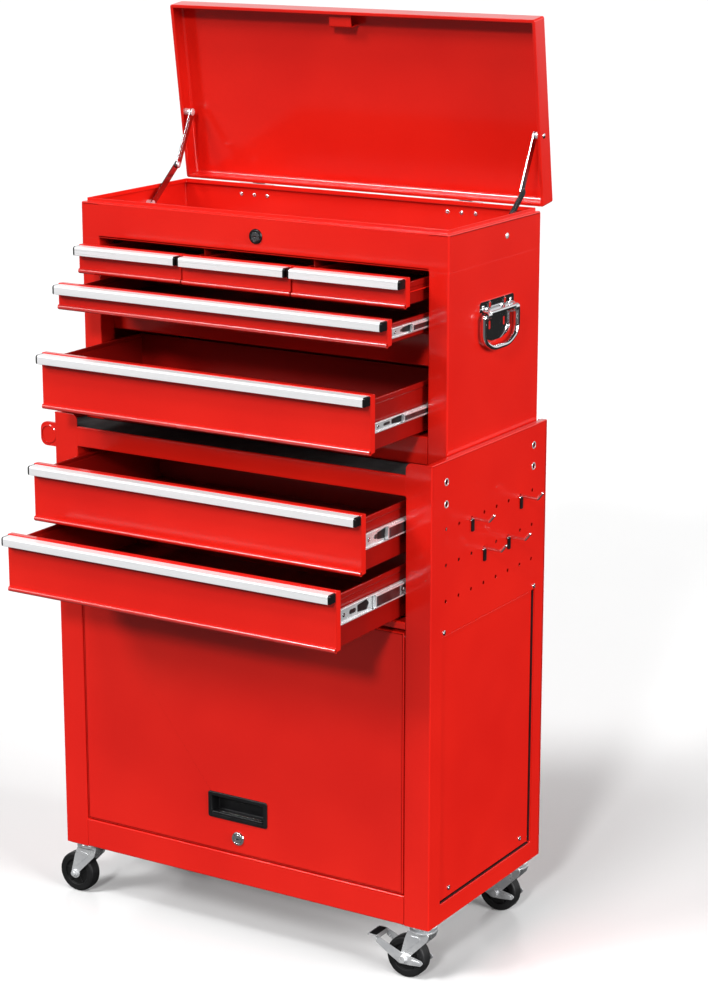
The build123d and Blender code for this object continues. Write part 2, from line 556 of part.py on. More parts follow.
def fork(x, y, swivel):
    inn, thk = WHEEL_W / 2 + 1.6, 1.8
    top0 = -11.2 if swivel else -2.0
    s = join(
        poly_y(leg_outline(x), y - inn - thk, y - inn),
        poly_y(leg_outline(x), y + inn, y + inn + thk),
    )
    if swivel:
        s = join(s, cylz(x, y, -13.0, top0, 17.0), bx(x - 17, x + 17, y - inn - thk, y + inn + thk, -14.5, -12.5))
    else:
        s = join(s, bx(x - 17, x + 17, y - inn - thk, y + inn + thk, -14.5, top0))
        s -= bx(x - 13, x + 13, y - inn, y + inn, -15, -4.0)
    # axle bolt with a head and a nut
    w = x - TRAIL
    s = join(s, cyly(w, y - inn - thk - 4.4, y + inn + thk + 4.4, AXZ, 3.0),
             cyly(w, y - inn - thk - 6.4, y - inn - thk - 2.2, AXZ, 5.2),
             cyly(w, y + inn + thk + 2.2, y + inn + thk + 6.4, AXZ, 5.2))
    if not swivel:
        s = join(s, cyly(w, y - inn - thk - 2.4, y - inn - thk, AXZ, 5.2), cyly(w, y + inn + thk, y + inn + thk + 2.4, AXZ, 5.2))
    return s


def plate_of(x, y):
    p = bx(x - 22, x + 22, y - 25, y + 25, -2.0, 0)
    p = fillet(p.edges().filter_by(Axis.Z), 4.0)
    for dx in (-15, 15):
        for dy in (-18, 18):
            p -= cylz(x + dx, y + dy, -3, 1, 3.0)
    return p


brackets = []
for y in CASTER_Y:
    brackets.append(plate_of(CASTER_X[0], y) + fork(CASTER_X[0], y, False))
    sw = plate_of(CASTER_X[1], y) + cylz(CASTER_X[1], y, -8.4, -1.9, 20.0)
    brackets.append(sw - cylz(CASTER_X[1], y, -9, -3, 7.1))
save("caster_brackets", *brackets)

for tag, y in (("front", CASTER_Y[0]), ("rear", CASTER_Y[1])):
    f = fork(CASTER_X[1], y, True) + cylz(CASTER_X[1], y, -11.3, -4.0, 7.0) + cylz(CASTER_X[1], y, -11.3, -8.8, 12.0)
    save("swivel_fork_%s" % tag, f)
    # U shaped brake pedal that turns on the axle outside the fork
    inn = WHEEL_W / 2 + 1.6 + 1.8 + 0.5
    w = CASTER_X[1] - TRAIL
    arm = [(w - 57, AXZ + 25), (w - 44, AXZ + 25), (w - 6, AXZ + 8.0), (w + 31, AXZ + 1.5), (w + 31, AXZ - 5.0), (w + 7, AXZ - 7.5), (w - 7, AXZ - 7.5), (w - 44, AXZ + 15), (w - 57, AXZ + 19.5)]
    a1 = poly_y(arm, y - inn - 1.3, y - inn)
    a2 = poly_y(arm, y + inn, y + inn + 1.3)
    tread = poly_y([(w - 57, AXZ + 25), (w - 44, AXZ + 25), (w - 40, AXZ + 23), (w - 40, AXZ + 21.4), (w - 44, AXZ + 23.3), (w - 57, AXZ + 23.3)], y - inn - 1.3, y + inn + 1.3)
    ped = join(a1, a2, tread) - cyly(w, y - 30, y + 30, AXZ, 3.3)
    save("brake_pedal_%s" % tag, ped)

for side, x in (("left", CASTER_X[0]), ("right", CASTER_X[1])):
    for tag, y in (("front", CASTER_Y[0]), ("rear", CASTER_Y[1])):
        w = x - TRAIL
        tyre = cyly(w, y - WHEEL_W / 2, y + WHEEL_W / 2, AXZ, WHEEL_R)
        tyre = fillet(tyre.edges().filter_by(GeomType.CIRCLE), 3.0)
        for s in (-1, 1):
            tyre -= cyly(w, min(y + s * 7, y + s * 12), max(y + s * 7, y + s * 12), AXZ, 19.0)
        hub = cyly(w, y - WHEEL_W / 2 - 1.2, y + WHEEL_W / 2 + 1.2, AXZ, 8.0)
        wheel = join(tyre, hub) - cyly(w, y - 20, y + 20, AXZ, 3.08)
        save("wheel_%s_%s" % (tag, side), wheel)

# ------------------------------------------------------------- fasteners
fast = []


def screw_x(x, y, z, s, r=3.6, h=1.6):
    # pan head on a face that looks along s * x
    return cylx(min(x, x + s * h), max(x, x + s * h), y, z, r)


for y, z in ((34.5, 414.5), (289.5, 414.5)):
    for x, s in ((0, -1), (W, 1)):
        fast.append(screw_x(x, y, z, s))
for y, z in ((60.7, 41.3), (267.2, 41.3)):
    for x, s in ((4.0, -1), (W - 4.0, 1)):
        fast.append(screw_x(x, y, z, s))
for y in BOLT_Y:
    for z in BOLT_Z:
        fast.append(join(cylx(-5.5, -2.5, y, z, 5.0), cylx(-2.6, 5.0, y, z, 3.0)))
for a, b in ((-38, 10.5), (38, 10.5), (-34, -26), (34, -26)):
    fast.append(screw_x(C_X1 + 1.5, hy0 + a, hz0 + b, 1, 2.6, 1.3))
    fast.append(screw_x(C_X0 - 1.5, hy0 + a, hz0 + b, -1, 2.6, 1.3))
for x in HINGE_X:
    for d in (-22.4, 0, 22.4):
        fast.append(cyly(x + d, C_Y1 - T - 1.4, C_Y1 - T, 928.3, 3.0))
for s in (0, 1):
    pin = join(cylx(C_X0 + T, 19.6, STAY_A[0], STAY_A[1], 5.0), cylx(19.5, 22.0, STAY_A[0], STAY_A[1], PIN_R), cylx(21.8, 22.3, STAY_A[0], STAY_A[1], 4.6))
    rivet = screw_x(C_X0, STAY_A[0], STAY_A[1], -1, 4.2, 1.6)
    fast += [mirror_x(pin), mirror_x(rivet)] if s else [pin, rivet]
save("screws_and_rivets", *fast)
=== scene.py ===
import bpy
import bmesh
import json
import math
from math import sin, cos, pi, radians, degrees, hypot, atan2
from mathutils import Vector, Matrix
from mathutils.geometry import tessellate_polygon

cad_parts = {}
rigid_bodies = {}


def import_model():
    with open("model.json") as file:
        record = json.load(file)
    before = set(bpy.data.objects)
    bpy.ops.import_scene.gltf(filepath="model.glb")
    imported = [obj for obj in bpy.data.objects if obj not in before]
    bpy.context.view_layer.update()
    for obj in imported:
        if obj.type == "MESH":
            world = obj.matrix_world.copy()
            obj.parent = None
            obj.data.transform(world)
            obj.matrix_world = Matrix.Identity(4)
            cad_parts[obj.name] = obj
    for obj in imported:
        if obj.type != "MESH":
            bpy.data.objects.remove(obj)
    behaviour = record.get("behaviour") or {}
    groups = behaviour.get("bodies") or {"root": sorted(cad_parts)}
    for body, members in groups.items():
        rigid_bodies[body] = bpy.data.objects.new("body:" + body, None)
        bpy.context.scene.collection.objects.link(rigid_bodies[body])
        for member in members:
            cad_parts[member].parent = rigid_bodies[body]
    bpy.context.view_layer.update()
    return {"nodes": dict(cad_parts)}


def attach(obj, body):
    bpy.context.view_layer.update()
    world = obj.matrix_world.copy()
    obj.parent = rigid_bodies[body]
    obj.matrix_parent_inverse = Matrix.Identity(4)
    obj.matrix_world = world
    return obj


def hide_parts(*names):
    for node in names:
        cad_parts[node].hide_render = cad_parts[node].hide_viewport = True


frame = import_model()
for o in list(bpy.data.objects):
    if o.type in ("LIGHT", "CAMERA"):
        bpy.data.objects.remove(o)

# Dimensions are the CAD model's, in millimetres, in the same work coordinates:
# x from the cabinet's left side, y from its front face backwards, z from its
# underside. P() takes a point to the shared frame in metres.
W, D, HC, T = 615.0, 321.0, 86.0, 1.0
CX = W / 2


def P(p):
    return Vector(((p[0] - W / 2) / 1000.0, (p[1] - D / 2) / 1000.0, (p[2] + HC) / 1000.0))


# ------------------------------------------------------------------ materials
def new_mat(name):
    m = bpy.data.materials.new(name)
    m.use_nodes = True
    nt = m.node_tree
    b = nt.nodes["Principled BSDF"]
    tc = nt.nodes.new("ShaderNodeTexCoord")
    return m, nt, b, tc.outputs["Object"]


def noise(nt, vec, scale, detail=3.0, rough=0.55, stretch=None):
    if stretch:
        mp = nt.nodes.new("ShaderNodeMapping")
        mp.inputs["Scale"].default_value = stretch
        nt.links.new(vec, mp.inputs["Vector"])
        vec = mp.outputs["Vector"]
    n = nt.nodes.new("ShaderNodeTexNoise")
    n.inputs["Scale"].default_value = scale
    n.inputs["Detail"].default_value = detail
    n.inputs["Roughness"].default_value = rough
    nt.links.new(vec, n.inputs["Vector"])
    return n.outputs["Fac"]


def ramp(nt, fac, stops):
    r = nt.nodes.new("ShaderNodeValToRGB")
    e = r.color_ramp.elements
    while len(e) < len(stops):
        e.new(0.5)
    for el, (pos, col) in zip(e, stops):
        el.position = pos
        el.color = (col[0], col[1], col[2], 1.0) if hasattr(col, "__len__") else (col, col, col, 1.0)
    nt.links.new(fac, r.inputs["Fac"])
    return r.outputs["Color"]


def rng(nt, fac, lo, hi, a=0.3, b=0.7):
    n = nt.nodes.new("ShaderNodeMapRange")
    n.inputs["From Min"].default_value = a
    n.inputs["From Max"].default_value = b
    n.inputs["To Min"].default_value = lo
    n.inputs["To Max"].default_value = hi
    nt.links.new(fac, n.inputs["Value"])
    return n.outputs["Result"]


def mixc(nt, fac, a, b, mode="MIX"):
    m = nt.nodes.new("ShaderNodeMix")
    m.data_type = "RGBA"
    m.blend_type = mode
    if hasattr(fac, "links"):
        nt.links.new(fac, m.inputs[0])
    else:
        m.inputs[0].default_value = fac
    for sock, v in ((m.inputs[6], a), (m.inputs[7], b)):
        if hasattr(v, "links"):
            nt.links.new(v, sock)
        else:
            sock.default_value = (v[0], v[1], v[2], 1.0)
    return m.outputs[2]


def bump(nt, bsdf, layers):
    prev = None
    for height, strength, dist in layers:
        n = nt.nodes.new("ShaderNodeBump")
        n.inputs["Strength"].default_value = strength
        n.inputs["Distance"].default_value = dist
        nt.links.new(height, n.inputs["Height"])
        if prev:
            nt.links.new(prev, n.inputs["Normal"])
        prev = n.outputs["Normal"]
    nt.links.new(prev, bsdf.inputs["Normal"])


def powder(name, dark, mid, light, rough=(0.30, 0.37), spec=0.13, peel=0.35):
    m, nt, b, v = new_mat(name)
    broad = noise(nt, v, 5.0, 2.0)
    fine = noise(nt, v, 900.0, 2.0)
    patch = noise(nt, v, 7.0, 2.0)
    col = ramp(nt, broad, [(0.30, dark), (0.52, mid), (0.74, light)])
    speck = ramp(nt, noise(nt, v, 1900.0, 1.0), [(0.24, (0.82, 0.82, 0.82)), (0.34, (1.0, 1.0, 1.0))])
    nt.links.new(mixc(nt, 1.0, col, speck, "MULTIPLY"), b.inputs["Base Color"])
    nt.links.new(rng(nt, patch, rough[0], rough[1]), b.inputs["Roughness"])
    b.inputs["Specular IOR Level"].default_value = spec
    b.inputs["Coat Weight"].default_value = 0.85
    b.inputs["Coat Roughness"].default_value = 0.13
    bump(nt, b, [(fine, peel, 0.00006), (noise(nt, v, 150.0, 2.0), 0.10, 0.0001)])
    return m


def metal(name, lo, hi, rough, scale=60.0, stretch=(1.0, 1.0, 1.0), bmp=0.15, mottled=False):
    m, nt, b, v = new_mat(name)
    n1 = noise(nt, v, scale, 4.0, 0.6, stretch)
    if mottled:
        vo = nt.nodes.new("ShaderNodeTexVoronoi")
        vo.inputs["Scale"].default_value = 180.0
        nt.links.new(v, vo.inputs["Vector"])
        n1 = mixc(nt, 0.35, ramp(nt, n1, [(0.3, 0.0), (0.7, 1.0)]), vo.outputs["Color"])
        bw = nt.nodes.new("ShaderNodeRGBToBW")
        nt.links.new(n1, bw.inputs["Color"])
        n1 = bw.outputs["Val"]
    nt.links.new(ramp(nt, n1, [(0.25, lo), (0.75, hi)]), b.inputs["Base Color"])
    b.inputs["Metallic"].default_value = 1.0
    nt.links.new(rng(nt, n1, rough[0], rough[1]), b.inputs["Roughness"])
    bump(nt, b, [(noise(nt, v, 700.0, 3.0, 0.6, stretch), bmp, 0.00005)])
    return m


def plastic(name, lo, hi, rough, grain=1400.0, bmp=0.3, spec=0.45):
    m, nt, b, v = new_mat(name)
    nt.links.new(ramp(nt, noise(nt, v, 30.0, 4.0), [(0.3, lo), (0.7, hi)]), b.inputs["Base Color"])
    nt.links.new(rng(nt, noise(nt, v, 90.0, 4.0), rough[0], rough[1]), b.inputs["Roughness"])
    b.inputs["Specular IOR Level"].default_value = spec
    bump(nt, b, [(noise(nt, v, grain, 2.0), bmp, 0.00007)])
    return m


RED = powder("red_powder_coat", (0.66, 0.0090, 0.0045), (0.71, 0.0115, 0.0055), (0.76, 0.0145, 0.0068))
# a darker copy of the red paint for floors and inner walls: painted shade, since the real insides are the same red and
# only lie in shadow
RED_PAINTED_SHADE = powder("red_powder_coat_painted_shade", (0.25, 0.0035, 0.002), (0.28, 0.0042, 0.0024), (0.31, 0.0052, 0.0028), rough=(0.36, 0.44), spec=0.10)
# rolled edges, where the coat lies thick and shines
LIP = powder("red_powder_coat_rolled_edge", (0.66, 0.0090, 0.0045), (0.71, 0.0115, 0.0055), (0.76, 0.0145, 0.0068), rough=(0.24, 0.30), spec=0.30, peel=0.15)
LIP.node_tree.nodes["Principled BSDF"].inputs["Coat Weight"].default_value = 1.0
LIP.node_tree.nodes["Principled BSDF"].inputs["Coat IOR"].default_value = 2.6
LIP.node_tree.nodes["Principled BSDF"].inputs["Coat Roughness"].default_value = 0.20
ALU = metal("pull_aluminium", (0.88, 0.89, 0.90), (0.96, 0.96, 0.97), (0.26, 0.36), 120.0, (0.02, 1.0, 1.0), 0.25)
ALU.node_tree.nodes["Principled BSDF"].inputs["Metallic"].default_value = 0.30
ZINC = metal("bright_zinc", (0.76, 0.77, 0.79), (0.88, 0.89, 0.90), (0.16, 0.28), 40.0, bmp=0.1, mottled=True)
ZINC.node_tree.nodes["Principled BSDF"].inputs["Metallic"].default_value = 0.6
CHROME = metal("chrome_plate", (0.74, 0.75, 0.77), (0.86, 0.86, 0.88), (0.05, 0.12), 40.0, bmp=0.05)
STAY = metal("stay_plate", (0.42, 0.43, 0.45), (0.52, 0.53, 0.55), (0.12, 0.20), 40.0, bmp=0.06)
PLUG = metal("lock_plug_face", (0.34, 0.34, 0.35), (0.46, 0.46, 0.48), (0.14, 0.24), 80.0, bmp=0.10)
STEEL_DARK = metal("dark_steel", (0.10, 0.10, 0.11), (0.20, 0.20, 0.21), (0.30, 0.45), 60.0, bmp=0.2)
BLACK = plastic("black_moulding", (0.004, 0.004, 0.0045), (0.010, 0.010, 0.011), (0.28, 0.42), spec=0.35)
BLACK_GLOSS = plastic("black_gloss", (0.004, 0.004, 0.0045), (0.009, 0.009, 0.010), (0.14, 0.24), bmp=0.12)
RUBBER = plastic("wheel_rubber", (0.006, 0.006, 0.006), (0.015, 0.015, 0.016), (0.38, 0.56), 900.0, 0.4, 0.30)


def mat_rubber():
    m, nt, b, v = new_mat("ribbed_mat")
    nt.links.new(ramp(nt, noise(nt, v, 60.0, 4.0), [(0.3, (0.012, 0.012, 0.013)), (0.7, (0.030, 0.030, 0.031))]), b.inputs["Base Color"])
    b.inputs["Roughness"].default_value = 0.75
    w = nt.nodes.new("ShaderNodeTexWave")
    w.inputs["Scale"].default_value = 90.0
    nt.links.new(v, w.inputs["Vector"])
    bump(nt, b, [(w.outputs["Fac"], 0.6, 0.0004), (noise(nt, v, 800.0, 2.0), 0.3, 0.0001)])
    return m


MAT = mat_rubber()


# ------------------------------------------------------------------- meshing
class Build:
    """Closed shells in millimetres, each with a material, joined into one piece."""

    def __init__(self):
        self.v, self.f, self.m, self.mats = [], [], [], []

    def add(self, shell, mat, fn=None):
        verts, faces = shell
        if fn:
            verts = [fn(p) for p in verts]
        if mat not in self.mats:
            self.mats.append(mat)
        k, o = self.mats.index(mat), len(self.v)
        self.v += [tuple(p) for p in verts]
        self.f += [tuple(i + o for i in f) for f in faces]
        self.m += [k] * len(faces)
        return self

    def make(self, name, body, replaces=(), slot=None, bevel=0.3, seg=2, angle=32):
        me = bpy.data.meshes.new(name)
        bm = bmesh.new()
        vs = [bm.verts.new(P(p)) for p in self.v]
        for f, m in zip(self.f, self.m):
            try:
                face = bm.faces.new([vs[i] for i in f])
            except ValueError:
                continue
            face.material_index = m
            face.smooth = True
        bmesh.ops.remove_doubles(bm, verts=[], dist=0.0)
        bmesh.ops.recalc_face_normals(bm, faces=bm.faces)
        bm.to_mesh(me)
        bm.free()
        for m in self.mats:
            me.materials.append(m)
        ob = bpy.data.objects.new(name, me)
        bpy.context.scene.collection.objects.link(ob)
        if bevel:
            b = ob.modifiers.new("edges", "BEVEL")
            b.width = bevel / 1000.0
            b.segments = seg
            b.limit_method = "ANGLE"
            b.angle_limit = radians(angle)
            b.use_clamp_overlap = True
            b.miter_outer = "MITER_SHARP"
        w = ob.modifiers.new("normals", "WEIGHTED_NORMAL")
        w.mode = "FACE_AREA"
        w.weight = 60
        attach(ob, body)
        if replaces:
            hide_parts(*([replaces] if isinstance(replaces, str) else replaces))
        return ob


def box(x0, x1, y0, y1, z0, z1):
    v = [(x, y, z) for x in (x0, x1) for y in (y0, y1) for z in (z0, z1)]
    return v, [(0, 1, 3, 2), (4, 6, 7, 5), (0, 4, 5, 1), (2, 3, 7, 6), (0, 2, 6, 4), (1, 5, 7, 3)]


AX = {"x": lambda u, w, a: (a, u, w), "y": lambda u, w, a: (u, a, w), "z": lambda u, w, a: (u, w, a)}


def prism(outline, axis, a, b, holes=()):
    """A flat outline with holes, between two places along an axis: x takes (y, z), y takes (x, z), z takes (x, y)."""
    f3 = AX[axis]
    loops = [list(outline)] + [list(h) for h in holes]
    flat = [p for lp in loops for p in lp]
    n = len(flat)
    v = [f3(p[0], p[1], a) for p in flat] + [f3(p[0], p[1], b) for p in flat]
    faces, o = [], 0
    for lp in loops:
        k = len(lp)
        for i in range(k):
            j = (i + 1) % k
            faces.append((o + i, o + j, n + o + j, n + o + i))
        o += k
    if holes:
        for t in tessellate_polygon([[Vector((p[0], p[1], 0)) for p in lp] for lp in loops]):
            faces.append(tuple(t))
            faces.append(tuple(i + n for i in reversed(t)))
    else:
        faces.append(tuple(range(n)))
        faces.append(tuple(range(2 * n - 1, n - 1, -1)))
    return v, faces


def circle(cx, cy, r, n=24, a0=0.0):
    return [(cx + r * cos(a0 + 2 * pi * i / n), cy + r * sin(a0 + 2 * pi * i / n)) for i in range(n)]


def oval(cx, cy, w, h, n=8):
    """Slot with round ends, w across and h up."""
    pts = []
    if h >= w:
        r = w / 2
        for c, s in ((cy + h / 2 - r, 0), (cy - h / 2 + r, pi)):
            pts += [(cx + r * cos(s + pi * i / n), c + r * sin(s + pi * i / n)) for i in range(n + 1)]
    else:
        r = h / 2
        for c, s in ((cx - w / 2 + r, pi / 2), (cx + w / 2 - r, -pi / 2)):
            pts += [(c + r * cos(s + pi * i / n), cy + r * sin(s + pi * i / n)) for i in range(n + 1)]
    return pts


def rounded(pts, radii, n=5):
    """A closed outline with its corners rounded."""
    out, k = [], len(pts)
    if not hasattr(radii, "__len__"):
        radii = [radii] * k
    for i in range(k):
        p, q, s = Vector(pts[i - 1]), Vector(pts[i]), Vector(pts[(i + 1) % k])
        a, b = (p - q), (s - q)
        la, lb = a.length, b.length
        a, b = a / la, b / lb
        ang = math.acos(max(-1, min(1, a.dot(b))))
        r = radii[i]
        if r <= 0.01 or ang > pi - 0.02:
            out.append(tuple(q))
            continue
        t = min(r / math.tan(ang / 2), la * 0.49, lb * 0.49)
        r = t * math.tan(ang / 2)
        c = q + (a + b).normalized() * (r / sin(ang / 2))
        s0, s1 = q + a * t - c, q + b * t - c
        th0, th1 = atan2(s0.y, s0.x), atan2(s1.y, s1.x)
        d = (th1 - th0 + pi) % (2 * pi) - pi
        for j in range(n + 1):
            th = th0 + d * j / n
            out.append((c.x + r * cos(th), c.y + r * sin(th)))
    return out


def rect(x0, x1, y0, y1, r=0.0, n=5):
    pts = [(x0, y0), (x1, y0), (x1, y1), (x0, y1)]
    return rounded(pts, r, n) if r else pts


def path_round(pts, r, n=5):
    """An open line with its corners rounded to radius r, or a list of radii for the inner points."""
    out = [tuple(pts[0])]
    for i in range(1, len(pts) - 1):
        p, q, s = Vector(pts[i - 1]), Vector(pts[i]), Vector(pts[i + 1])
        rr = r[i - 1] if hasattr(r, "__len__") else r
        a, b = p - q, s - q
        la, lb = a.length, b.length
        a, b = a / la, b / lb
        ang = math.acos(max(-1, min(1, a.dot(b))))
        if rr <= 0.01 or ang > pi - 0.02:
            out.append(tuple(q))
            continue
        t = min(rr / math.tan(ang / 2), la * 0.49, lb * 0.49)
        for j in range(n + 1):
            u = j / n
            q0, q1 = q + a * t, q + b * t
            c = q + (a + b).normalized() * ((t * math.tan(ang / 2)) / sin(ang / 2))
            w0, w1 = q0 - c, q1 - c
            om = math.acos(max(-1, min(1, w0.normalized().dot(w1.normalized()))))
            k0, k1 = (sin((1 - u) * om) / sin(om), sin(u * om) / sin(om)) if om > 1e-4 else (1 - u, u)
            out.append(tuple(c + w0 * k0 + w1 * k1))
    out.append(tuple(pts[-1]))
    return out


def fold(pts, axis, a, b, t=1.0, r=1.2, n=4, raw=False):
    """Bent sheet: a centre line with rounded bends, given thickness t and run along an axis."""
    line = [Vector(p) for p in (pts if raw else path_round([Vector(p) for p in pts], r, n))]
    clean = [line[0]]
    for p in line[1:]:
        if (p - clean[-1]).length > 1e-4:
            clean.append(p)
    line, k = clean, len(clean)
    left, right = [], []
    for i in range(k):
        d0 = (line[i] - line[i - 1]).normalized() if i else (line[1] - line[0]).normalized()
        d1 = (line[i + 1] - line[i]).normalized() if i < k - 1 else d0
        m = (d0 + d1)
        m = m.normalized() if m.length > 1e-6 else d0
        nrm = Vector((-m.y, m.x))
        s = t / 2 / max(0.35, nrm.dot(Vector((-d0.y, d0.x))))
        left.append(line[i] + nrm * s)
        right.append(line[i] - nrm * s)
    f3 = AX[axis]
    v = [f3(p.x, p.y, h) for h in (a, b) for side in (left, right) for p in side]
    L0, R0, L1, R1 = 0, k, 2 * k, 3 * k
    faces = []
    for i in range(k - 1):
        faces += [(L0 + i, L0 + i + 1, L1 + i + 1, L1 + i), (R0 + i, R1 + i, R1 + i + 1, R0 + i + 1),
                  (L0 + i, R0 + i, R0 + i + 1, L0 + i + 1), (L1 + i, L1 + i + 1, R1 + i + 1, R1 + i)]
    faces += [(L0, L1, R1, R0), (L0 + k - 1, R0 + k - 1, R1 + k - 1, L1 + k - 1)]
    return v, faces


def rect_loop(x0, x1, y0, y1, r, n=5):
    r = max(r, 0.05)
    out = []
    for cx, cy, s in ((x1 - r, y1 - r, 0), (x0 + r, y1 - r, 90), (x0 + r, y0 + r, 180), (x1 - r, y0 + r, 270)):
        out += [(cx + r * cos(radians(s + 90 * i / n)), cy + r * sin(radians(s + 90 * i / n))) for i in range(n + 1)]
    return out


def loft(x0, x1, y0, y1, R, prof, n=5, place=lambda a, b, c: (a, b, c)):
    """Rounded rectangles joined in order: prof is a list of (inset, height), closed at both ends."""
    v, faces, k = [], [], 4 * (n + 1)
    for d, h in prof:
        v += [place(p[0], p[1], h) for p in rect_loop(x0 + d, x1 - d, y0 + d, y1 - d, R - d, n)]
    for i in range(len(prof) - 1):
        for j in range(k):
            q = (j + 1) % k
            faces.append((i * k + j, i * k + q, (i + 1) * k + q, (i + 1) * k + j))
    faces.append(tuple(range(k)))
    o = (len(prof) - 1) * k
    faces.append(tuple(range(o + k - 1, o - 1, -1)))
    return v, faces


def lathe(prof, axis, c, n=32):
    """Turned shape about an axis through c: prof is (radius, place along the axis), from one end to the other."""
    v, faces, rings = [], [], []
    for r, h in prof:
        if r < 1e-4:
            rings.append([len(v)])
            v.append(AXC(axis, c, 0, 0, h))
        else:
            rings.append(list(range(len(v), len(v) + n)))
            v += [AXC(axis, c, r * cos(2 * pi * i / n), r * sin(2 * pi * i / n), h) for i in range(n)]
    for a, b in zip(rings, rings[1:]):
        for i in range(n):
            j = (i + 1) % n
            if len(a) == 1 and len(b) == 1:
                continue
            if len(a) == 1:
                faces.append((a[0], b[j], b[i]))
            elif len(b) == 1:
                faces.append((a[i], a[j], b[0]))
            else:
                faces.append((a[i], a[j], b[j], b[i]))
    if len(rings[0]) > 1:
        faces.append(tuple(reversed(rings[0])))
    if len(rings[-1]) > 1:
        faces.append(tuple(rings[-1]))
    return v, faces


def ring(prof, axis, c, n=32):
    """Turned shape with a hole: the profile is a closed outline in (radius, place along the axis)."""
    v, faces, k = [], [], len(prof)
    for i in range(n):
        v += [AXC(axis, c, r * cos(2 * pi * i / n), r * sin(2 * pi * i / n), h) for r, h in prof]
    for i in range(n):
        j = (i + 1) % n
        for a in range(k):
            b = (a + 1) % k
            faces.append((i * k + a, i * k + b, j * k + b, j * k + a))
    return v, faces


def AXC(axis, c, u, w, h):
    if axis == "x":
        return (c[0] + h, c[1] + u, c[2] + w)
    if axis == "y":
        return (c[0] + u, c[1] + h, c[2] + w)
    return (c[0] + u, c[1] + w, c[2] + h)


def tube(pts, r, n=14, cap=True, flat=1.0):
    """Round bar along a line of points, with domed ends. flat squeezes it along its second direction."""
    pts = [Vector(p) for p in pts]
    tang = []
    for i in range(len(pts)):
        a = pts[max(i - 1, 0)]
        b = pts[min(i + 1, len(pts) - 1)]
        tang.append((b - a).normalized())
    up = Vector((0, 0, 1)) if abs(tang[0].z) < 0.9 else Vector((0, 1, 0))
    u = tang[0].cross(up).normalized()
    rings = []

    def emit(p, t, u, rr):
        w = t.cross(u).normalized()
        return [p + u * (rr * cos(2 * pi * i / n)) + w * (rr * flat * sin(2 * pi * i / n)) for i in range(n)]
    if cap:
        for q in (0.999, 0.85, 0.5):
            rings.append(emit(pts[0] - tang[0] * r * q, tang[0], u, r * math.sqrt(max(0.0, 1 - q * q))))
    for i, p in enumerate(pts):
        if i:
            u = (u - tang[i] * u.dot(tang[i])).normalized()
        rings.append(emit(p, tang[i], u, r))
    if cap:
        for q in (0.5, 0.85, 0.999):
            rings.append(emit(pts[-1] + tang[-1] * r * q, tang[-1], u, r * math.sqrt(max(0.0, 1 - q * q))))
    v = [tuple(p) for rg in rings for p in rg]
    faces = []
    for i in range(len(rings) - 1):
        for j in range(n):
            q = (j + 1) % n
            faces.append((i * n + j, i * n + q, (i + 1) * n + q, (i + 1) * n + j))
    faces.append(tuple(range(n - 1, -1, -1)))
    o = (len(rings) - 1) * n
    faces.append(tuple(range(o, o + n)))
    return v, faces


def bend3(pts, r, n=6):
    return path_round([Vector(p) for p in pts], r, n)


def mx(p):
    """Mirror left to right."""
    return (2 * CX - p[0], p[1], p[2])


def ident(p):
    return p


def pan_head(axis, c, s, r=3.6, h=1.6, cross=True, n=20):
    """Pan head screw on a face at c, looking along s times the axis, with a cross recess cut into its top."""
    v, faces = [], []
    prof = [(r, 0.0), (r, h * 0.35), (r * 0.93, h * 0.68), (r * 0.74, h * 0.92), (r * 0.56, h)]
    k = 24
    for q, t in prof:
        v += [AXC(axis, c, q * cos(2 * pi * i / k), q * sin(2 * pi * i / k), s * t) for i in range(k)]
    for i in range(len(prof) - 1):
        for j in range(k):
            m = (j + 1) % k
            faces.append((i * k + j, i * k + m, (i + 1) * k + m, (i + 1) * k + j))
    faces.append(tuple(range(k - 1, -1, -1)))
    # the top is a star of the cross recess inside the circle, sunk
    a, w = r * 0.50, r * 0.13
    star = []
    for q in range(4):
        th = q * pi / 2
        for du, dv in ((a, -w), (a, w), (w, w)):
            star.append((du * cos(th) - dv * sin(th), du * sin(th) + dv * cos(th)))
    o = (len(prof) - 1) * k
    base = len(v)
    for dep, sc in ((h, 1.0), (h * 0.35, 0.75)):
        v += [AXC(axis, c, x * sc, y * sc, s * dep) for x, y in star]
    m = len(star)
    outer = [(r * 0.56 * cos(2 * pi * i / k), r * 0.56 * sin(2 * pi * i / k)) for i in range(k)]
    tri = tessellate_polygon([[Vector((x, y, 0)) for x, y in outer], [Vector((x, y, 0)) for x, y in star]])
    for t in tri:
        faces.append(tuple(o + i if i < k else base + i - k for i in t))
    for i in range(m):
        j = (i + 1) % m
        faces.append((base + i, base + j, base + m + j, base + m + i))
    faces.append(tuple(range(base + m, base + 2 * m)))
    return v, faces


def rivet(axis, c, s, r=3.0, h=1.4, n=20):
    return lathe([(r, 0.0), (r * 0.98, s * h * 0.25), (r * 0.85, s * h * 0.62), (r * 0.55, s * h * 0.9), (r * 0.2, s * h), (0.0, s * h)], axis, c, n)


# ------------------------------------------------------- cabinet, side panels
PEG_Y0, PEG_DY, PEG_NY = 39.0, 34.5, 8
PEG_Z0, PEG_DZ, PEG_NZ = 456.5, 49.5, 3
BOLT_Y, BOLT_Z = (38.25, 282.75), (589.5, 619.5)
ACC_Y, ACC_Z = (30.0, 294.0), (26.0, 410.0)
SIDE_H, STILE, STILE_D = 648.6, 39.5, 30.0

